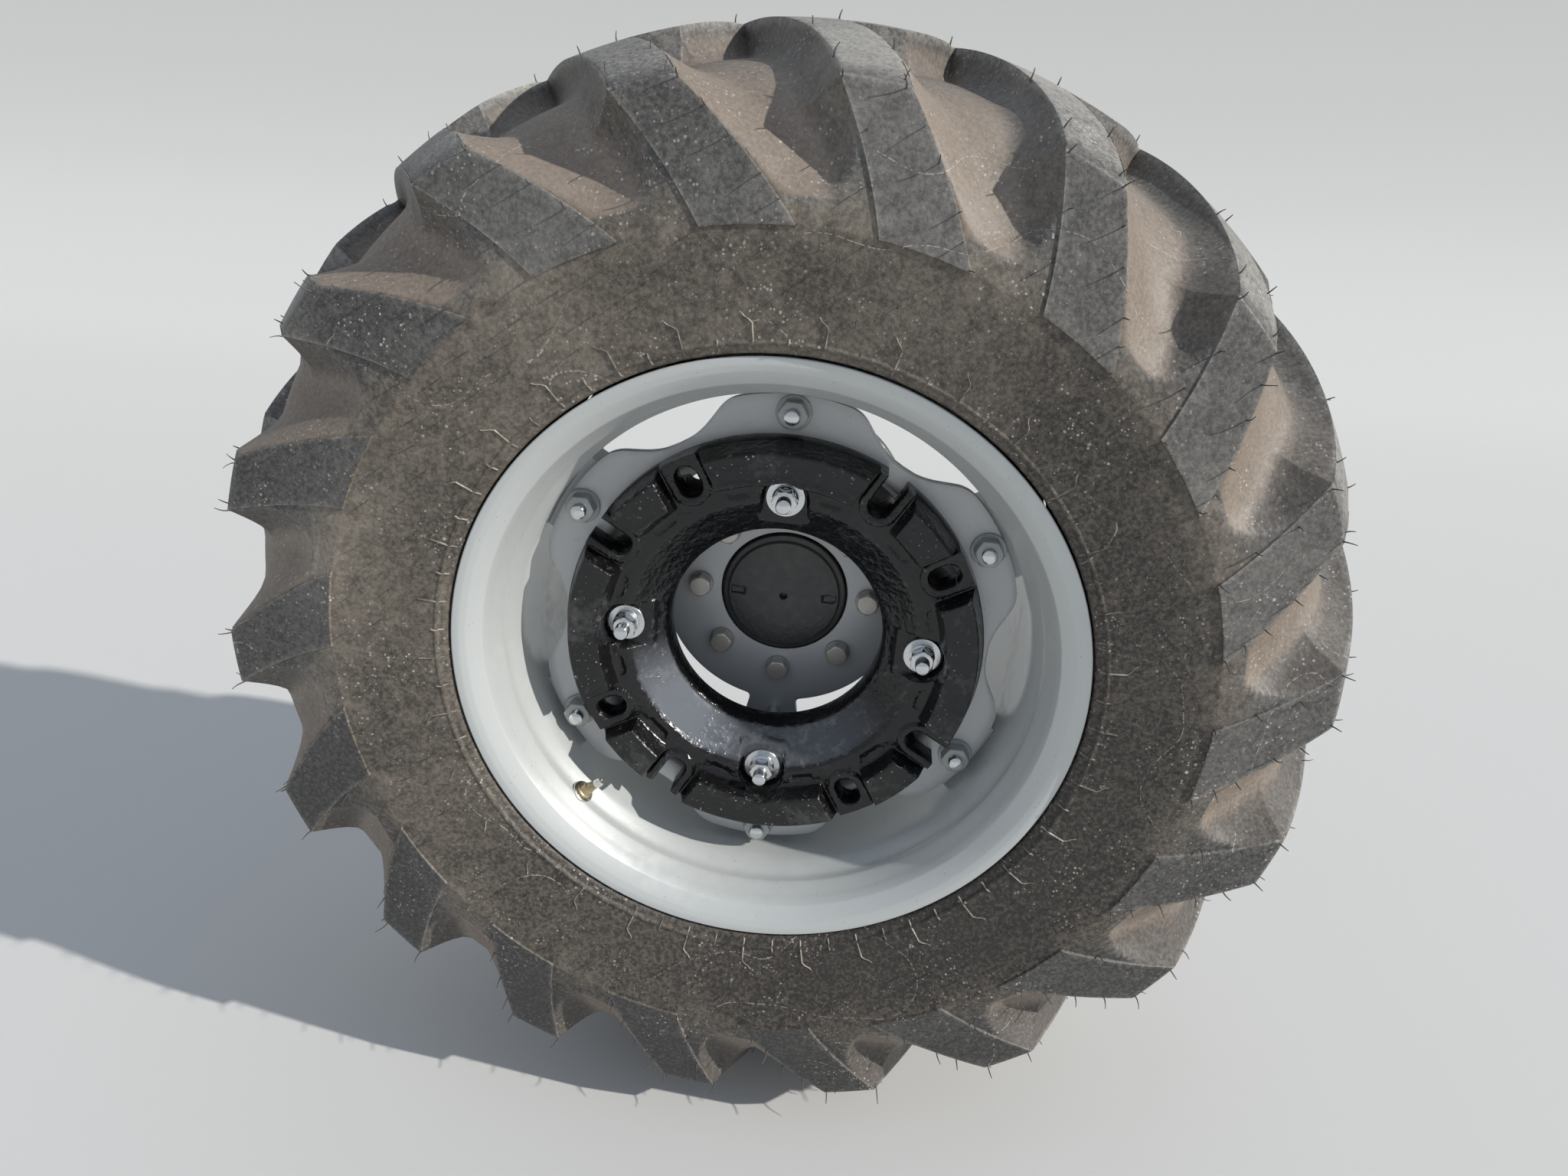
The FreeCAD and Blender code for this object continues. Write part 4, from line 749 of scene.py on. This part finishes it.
def make_valve(brass, plated):
    """Valve: turned stem, ribs and tip, drawn along the axle and stood square on the rim's ramp."""
    slope, degrees = math.atan2(10.7, 43), 223.3
    around = math.radians(degrees)
    inwards = Vector((-math.cos(around), 0, -math.sin(around)))
    way = (inwards * math.cos(slope) + Vector((0, -1, 0)) * math.sin(slope)).normalized()
    turn = np.array(Vector((0, -1, 0)).rotation_difference(way).to_matrix())
    foot = placed(286.5, 53.0, degrees)

    def stood(part):
        points, faces = part
        return points @ turn.T + foot, faces

    stem = disc_part([(-6, 0), (-6, 6), (1.2, 6), (1.2, 8.8), (1.8, 9.2), (4.0, 9.2), (4.7, 8.6),
                      (5.3, 7.0), (5.9, 6.6), (12.4, 6.4), (13.1, 5.9), (13.6, 5.0), (14.4, 4.9),
                      (15, 5.4), (16.8, 5.4), (17.4, 4.8), (18.6, 4.5), (25, 4.4), (25, 0)])
    grommet = disc_part([(-0.6, 4), (-0.6, 12.6), (0.4, 13.2), (1.6, 12.8), (2.2, 11.8),
                         (2.2, 9.8), (1.4, 9.2), (1.4, 4)], 60)
    points, faces = thread(4.9, 0, 6.0, 1.2, 0.6)
    ribs = points + [0, -0.019, 0], faces
    cap = disc_part([(25.2, 0), (25.2, 4.7), (26, 5.3), (31.4, 5.3), (32.2, 4.8), (34.6, 4.6),
                     (35.4, 4.0), (35.4, 1.6), (34.6, 1.3), (34.6, 0)])
    piece("valve_body", [stood(stem), stood(ribs)], brass, ["valve_stem"])
    piece("valve_tip", [stood(cap)], plated, ["valve_cap"])
    piece("valve_grommet", [stood(grommet)], plated)


# -------- nodes

def node(tree, kind, output=0, settings=(), **inputs):
    """Wire from an output of a new node of a kind, with its settings and inputs."""
    made = tree.nodes.new(f"ShaderNode{kind}")
    for label, setting in dict(settings).items():
        setattr(made, label, setting)
    for label, source in inputs.items():
        plug(tree, made, label, source)
    return Wire(tree, made.outputs[output])


def plug(tree, target, label, source):
    """Joins a wire to an input found by its name, or by n and its number, or sets its value."""
    label = int(label[1:]) if label[1:].isdigit() else label.replace("_", " ")
    if isinstance(source, Wire):
        tree.links.new(source.socket, target.inputs[label])
    else:
        value = (*source, 1) if isinstance(source, tuple) else source
        target.inputs[label].default_value = value


def operation(name):
    """Method that adds a math node for a wire and another wire or a number."""
    return lambda first, second=0.0: node(first.tree, "Math", settings={"operation": name},
                                          n0=first, n1=second)


class Wire:
    """Output of a node. Sums, products and comparisons of wires add math nodes to the tree."""
    __add__ = operation("ADD")
    __sub__ = operation("SUBTRACT")
    __mul__ = operation("MULTIPLY")
    __lt__ = operation("LESS_THAN")
    __gt__ = operation("GREATER_THAN")
    __abs__ = operation("ABSOLUTE")
    larger = operation("MAXIMUM")

    def __init__(self, tree, socket):
        self.tree, self.socket = tree, socket

    def other(self, output):
        """Another output of the same node."""
        return Wire(self.tree, self.socket.node.outputs[output])


def noise(tree, place, scale, detail):
    return node(tree, "TexNoise", Vector=place, Scale=scale, Detail=detail)


def attribute(tree, name):
    return node(tree, "Attribute", "Fac", {"attribute_name": name})


def blend(share, under, over):
    """Colour that goes from under to over with the share."""
    return node(share.tree, "Mix", 2, {"data_type": "RGBA"}, n0=share, n6=under, n7=over)


def stretch(source, low, high):
    """Source stretched so that low gives 0 and high gives 1, held between them."""
    return node(source.tree, "MapRange", settings={"clamp": True}, Value=source, n1=low, n2=high)


def shared(output, **inputs):
    """Makes a node group of a function of its tree, the object's coordinates and some inputs, and
    turns the function into one that puts the group into a material's tree."""
    def grouped(body):
        tree = bpy.data.node_groups.new(body.__name__, "ShaderNodeTree")
        for label, value in inputs.items():
            socket = tree.interface.new_socket(label, in_out="INPUT",
                                               socket_type="NodeSocketFloat")
            socket.default_value = value
        tree.interface.new_socket(output, in_out="OUTPUT", socket_type="NodeSocketFloat")
        given = tree.nodes.new("NodeGroupInput").outputs
        result = body(tree, node(tree, "TexCoord", "Object"),
                      *(Wire(tree, given[label]) for label in inputs))
        plug(tree, tree.nodes.new("NodeGroupOutput"), output, result)

        def used(target, *values):
            made = target.nodes.new("ShaderNodeGroup")
            made.node_tree = tree
            for label, value in zip(inputs, values):
                plug(target, made, label, value)
            return Wire(target, made.outputs[0])
        return used
    return grouped


@shared("Mask", Coarse=6.0, Fine=60.0, Share=0.5)
def mottle(tree, place, coarse, fine, share):
    """Cloudy mask: the sum of a coarse and a fine noise, stretched round its middle."""
    both = noise(tree, place, coarse, 5.0) * 0.75 + noise(tree, place, fine, 4.0) * 0.45
    return node(tree, "Clamp", Value=(both - (share * -0.75 + 0.98)) * 4.5)


@shared("Mask", Scale=160.0, Size=0.25, Cover=0.4)
def specks(tree, place, scale, size, cover):
    """Small scattered spots: near a cell's point, where the cell's random colour is low."""
    cell = node(tree, "TexVoronoi", "Distance", Vector=place, Scale=scale)
    drawn = node(tree, "SeparateColor", Color=cell.other("Color"))
    return (cell < size * drawn.other(1)) * (drawn < cover)


@shared("Height", Scale=200.0, Strength=0.2, Coarse=20.0)
def relief(tree, place, scale, strength, coarse):
    """Height for a bump: a fine noise and twice a coarse one."""
    return (noise(tree, place, scale, 3.0) + noise(tree, place, coarse, 2.0) * 2.0) * strength


@shared("Mask", Scale=7.0, Width=0.0016, Cover=0.5)
def scratches(tree, place, scale, width, cover):
    """Thin scratches: where a slow noise crosses its middle level, broken up by a fine noise and
    kept to patches by a coarse one."""
    broken = width * stretch(noise(tree, place, 300.0, 1.0), 0.46, 0.58)
    line = abs(noise(tree, place, scale, 0.3) - 0.5) < broken
    return line * (noise(tree, place, 4.3, 1.0) > cover)


# -------- finishes

def surface(name, colour, roughness, metallic=0.0, bump=None, distance=0.001):
    """Material whose colour, roughness and bump are values or functions of its tree."""
    made = bpy.data.materials.new(name)
    made.use_nodes = True
    tree = made.node_tree
    shader = tree.nodes["Principled BSDF"]
    for label, source in zip(("Base Color", "Roughness", "Metallic"),
                             (colour, roughness, metallic)):
        plug(tree, shader, label, source(tree) if callable(source) else source)
    if bump:
        plug(tree, shader, "Normal", node(tree, "Bump", Height=bump(tree), Distance=distance,
                                          Strength=1.0))
    return made


def cloudy(low, high, coarse=10, fine=80):
    """Number that goes cloudily between two levels."""
    return lambda tree: mottle(tree, coarse, fine, 0.5) * (high - low) + low


def coat(name, clean, dusty, share, gloss, metallic=0.0, bump=None, distance=0.0004):
    """Paint or plating: dust lies on it in clouds, with a few dark specks. Gloss says how the
    roughness goes, and bump gives the relief's fine scale, strength and coarse scale."""
    def colour(tree):
        base = blend(mottle(tree, 7, 90, share) * 0.5, clean, dusty)
        return blend(specks(tree, 330, 0.3, 0.06) * 0.35, base, (0.12, 0.11, 0.10))
    return surface(name, colour, cloudy(*gloss), metallic,
                   bump and (lambda tree: relief(tree, *bump)), distance)


def rubber_colour(tree):
    """Dark rubber, browner on the side wall, with dust on it by place: a broken pale crust on the
    lugs' tops, brown in the pockets, thin and cloudy elsewhere and thicker round the pockets'
    ends. The crust's mask also carries painted highlights: a thin pale line on each pocket's lip,
    pale lines on the lugs' edges that are partly wear and partly painted highlight, and pale
    streaks in the valleys that are partly dust and partly painted highlight. Fine specks lie in
    drifts, and dotted scratches follow the levels of a slow noise."""
    cloud, grain = mottle(tree, 5, 70, 0.64), mottle(tree, 230, 640, 0.64)
    wall = attribute(tree, "wall")
    bare = blend(wall, (0.040, 0.039, 0.038), (0.030, 0.026, 0.023))
    dust = blend(wall, (0.235, 0.224, 0.206), (0.262, 0.226, 0.180))
    thick = attribute(tree, "dusty") * (cloud * 0.55 + 0.36) + (grain - 0.45) * 0.36
    dusted = blend(stretch(thick, 0.0, 1.0), bare, dust)
    pocket = attribute(tree, "pocket") * (grain * 0.28 + 0.56)
    pockets = blend(pocket, dusted, (0.275, 0.218, 0.170))
    # Dust crust on the lugs' tops, together with the painted highlights on the lips, valleys and
    # edges.
    crust_and_highlight = attribute(tree, "crown") * (grain * 0.26 + cloud * 0.22 + 0.16)
    crowned = blend(crust_and_highlight, pockets, (0.46, 0.445, 0.41))
    spots = specks(tree, 330, 0.5, 0.20).larger(specks(tree, 150, 0.27, 0.10))
    marks = (mottle(tree, 12, 40, 0.58) * spots * 0.85).larger(scratches(tree) * 0.5)
    return blend(marks, crowned, (0.56, 0.53, 0.48))


def painted_sheen_share(tree):
    """Painted sheen on the low side of the weight's cone: a grey-blue reflection of the sky painted
    into the colour, with a ragged edge.
    """
    return stretch(mottle(tree, 40, 160, 0.5) * 0.35 + attribute(tree, "painted_sheen"), 0.3, 0.95)


def casting_colour(tree):
    """Black paint, greyer with dust on the pads, pale along the edges from worn paint and painted
    glints, with rusty chips, pale specks and a painted grey-blue sheen of reflected sky on the
    cone."""
    raised = attribute(tree, "raised")
    dust = mottle(tree, 16, 150, 0.45) * (raised * 0.65 + 0.25)
    base = blend(dust, (0.0065, 0.0065, 0.007), (0.075, 0.074, 0.072))
    # Pale along convex edges: partly worn paint, partly painted glint.
    edge_wear_and_glint = blend(attribute(tree, "edge") * mottle(tree, 90, 400, 0.4), base, (0.26, 0.25, 0.24))
    chipped = blend(specks(tree, 120, 0.36, 0.06) * raised, edge_wear_and_glint, (0.17, 0.085, 0.05))
    salted = blend(specks(tree, 420, 0.5, 0.1) * raised, chipped, (0.34, 0.33, 0.31))
    # Painted sheen: a grey-blue reflection of the sky painted over the cone's low side.
    return blend(painted_sheen_share(tree), salted, (0.15, 0.163, 0.182))


def casting_rough(tree):
    return mottle(tree, 14, 110, 0.5) * 0.30 + attribute(tree, "raised") * 0.16 + 0.12


def casting_relief(tree):
    """Rough casting, nearly smooth under the painted sheen."""
    return relief(tree, 170, 0.7, 45) * (painted_sheen_share(tree) * -0.85 + 1.0)


# Pale ribs: the pale colour is partly dust and partly a painted highlight on the ribs.
def rib_colour(tree):
    return blend(mottle(tree, 30, 200, 0.6), (0.13, 0.115, 0.095), (0.40, 0.365, 0.31))


tyre_rubber = surface("tyre rubber", rubber_colour, cloudy(0.56, 0.78, 9, 70),
                      bump=lambda tree: relief(tree, 260, 0.5, 30), distance=0.0012)
hair_rubber = surface("vent hair rubber", (0.075, 0.069, 0.062), 0.6)
rib_rubber = surface("rib rubber with dust and painted highlight", rib_colour, 0.65)
gloss_black = surface("gloss black cast iron", casting_colour, casting_rough,
                      bump=casting_relief, distance=0.0016)
silver_paint = coat("silver rim paint", (0.56, 0.58, 0.57), (0.49, 0.48, 0.45), 0.35,
                    (0.36, 0.52), 0.25, (420, 0.12, 60))
disc_paint = coat("grey disc paint", (0.53, 0.545, 0.55), (0.45, 0.44, 0.42), 0.35,
                  (0.34, 0.5), 0.2, (380, 0.15, 50))
bolt_paint = coat("painted bolt steel", (0.38, 0.40, 0.40), (0.26, 0.25, 0.23), 0.5,
                  (0.35, 0.55, 40, 200), 0.4, (500, 0.2, 90))
weathered_steel = coat("weathered bolt steel", (0.55, 0.52, 0.47), (0.38, 0.33, 0.28), 0.5,
                       (0.3, 0.5, 60, 260), 0.55, (500, 0.15, 90), 0.0003)
forging_black = coat("black forging paint", (0.046, 0.046, 0.047), (0.12, 0.115, 0.108), 0.6,
                     (0.28, 0.5, 16, 120), 0.0, (230, 0.4, 40), 0.0008)
housing_black = coat("black housing paint", (0.022, 0.022, 0.024), (0.05, 0.047, 0.042), 0.45,
                     (0.35, 0.6, 12, 90), 0.0, (150, 0.6, 40), 0.0012)
bright_zinc = coat("bright zinc", (0.68, 0.70, 0.71), (0.50, 0.50, 0.47), 0.3,
                   (0.18, 0.38, 60, 300), 1.0, (700, 0.12, 120), 0.0003)
brass = coat("dull brass", (0.50, 0.40, 0.24), (0.38, 0.30, 0.20), 0.5,
             (0.32, 0.5, 60, 300), 0.75)
nickel = coat("nickel plate", (0.80, 0.79, 0.75), (0.62, 0.60, 0.54), 0.3,
              (0.2, 0.4, 60, 300), 1.0)

make_tyre(tyre_rubber, hair_rubber, rib_rubber)
make_rim(silver_paint)
make_disc(disc_paint)
make_weight(gloss_black)
make_fasteners(bright_zinc, bolt_paint, weathered_steel)
make_axle(forging_black)
make_housing(housing_black, bright_zinc)
make_valve(brass, nickel)

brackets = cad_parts["rim_brackets"].data.materials
brackets.clear()
brackets.append(disc_paint)


# -------- floor, light and camera

def make_stage():
    """Pale floor that curves up behind the wheel into a backdrop."""
    rows = smoothed([(-9, 0), (-3, 0), (2.2, 0), (3.6, 0.35), (4.2, 1.5), (4.3, 4), (4.3, 8)], 6)
    across = np.linspace(-9, 9, 3)[:, None]
    grid = np.stack(np.broadcast_arrays(across, rows[:, 0], rows[:, 1] + FLOOR), -1)
    points, faces = sheet(grid, False, False)
    mesh = bpy.data.meshes.new("studio_floor")
    mesh.from_pydata(points, [], faces[:, ::-1].tolist())
    mesh.polygons.foreach_set("use_smooth", np.ones(len(mesh.polygons), bool))
    mesh.materials.append(surface("pale floor", (0.62, 0.62, 0.61), 0.85))
    floor = linked("studio_floor", mesh)


def make_light():
    """Soft sun from the upper right, close to the wheel's plane, and an even sky."""
    sun = bpy.data.lights.new("key_sun", "SUN")
    sun.energy = 3.6
    sun.angle = math.radians(1.0)
    sun.color = (1.0, 0.965, 0.91)
    towards = Vector((0.80, -0.26, 0.54)).normalized()
    linked("key_sun", sun).rotation_euler = towards.to_track_quat("Z", "Y").to_euler()
    world = bpy.data.worlds.new("sky")
    bpy.context.scene.world = world
    world.use_nodes = True
    tree = world.node_tree
    up = node(tree, "SeparateXYZ", 2, Vector=node(tree, "TexCoord", "Generated"))
    sky = blend(stretch(up, -0.1, 0.6), (0.80, 0.79, 0.77), (0.60, 0.70, 0.85))
    plug(tree, tree.nodes["Background"], "Color", sky)
    plug(tree, tree.nodes["Background"], "Strength", 0.62)


def make_camera():
    """Camera at the photograph's place, found from the rim, the hub circle and the weight. It
    turns about Z, about its own X and about its own Z."""
    turn = Matrix()
    for degrees, axis in ((4.11, "Z"), (90 - 23.3, "X"), (2.98, "Z")):
        turn = turn @ Matrix.Rotation(math.radians(degrees), 4, axis)
    lens = bpy.data.cameras.new("camera")
    lens.sensor_width = 36
    lens.lens = 36 * 1483 / 2048
    lens.clip_end = 60
    camera = linked("camera", lens)
    camera.matrix_world = Matrix.Translation((0.0899, -1.5943, 0.5485)) @ turn
    bpy.context.scene.camera = camera


make_stage()
make_light()
make_camera()
bpy.context.scene.view_settings.view_transform = "Standard"
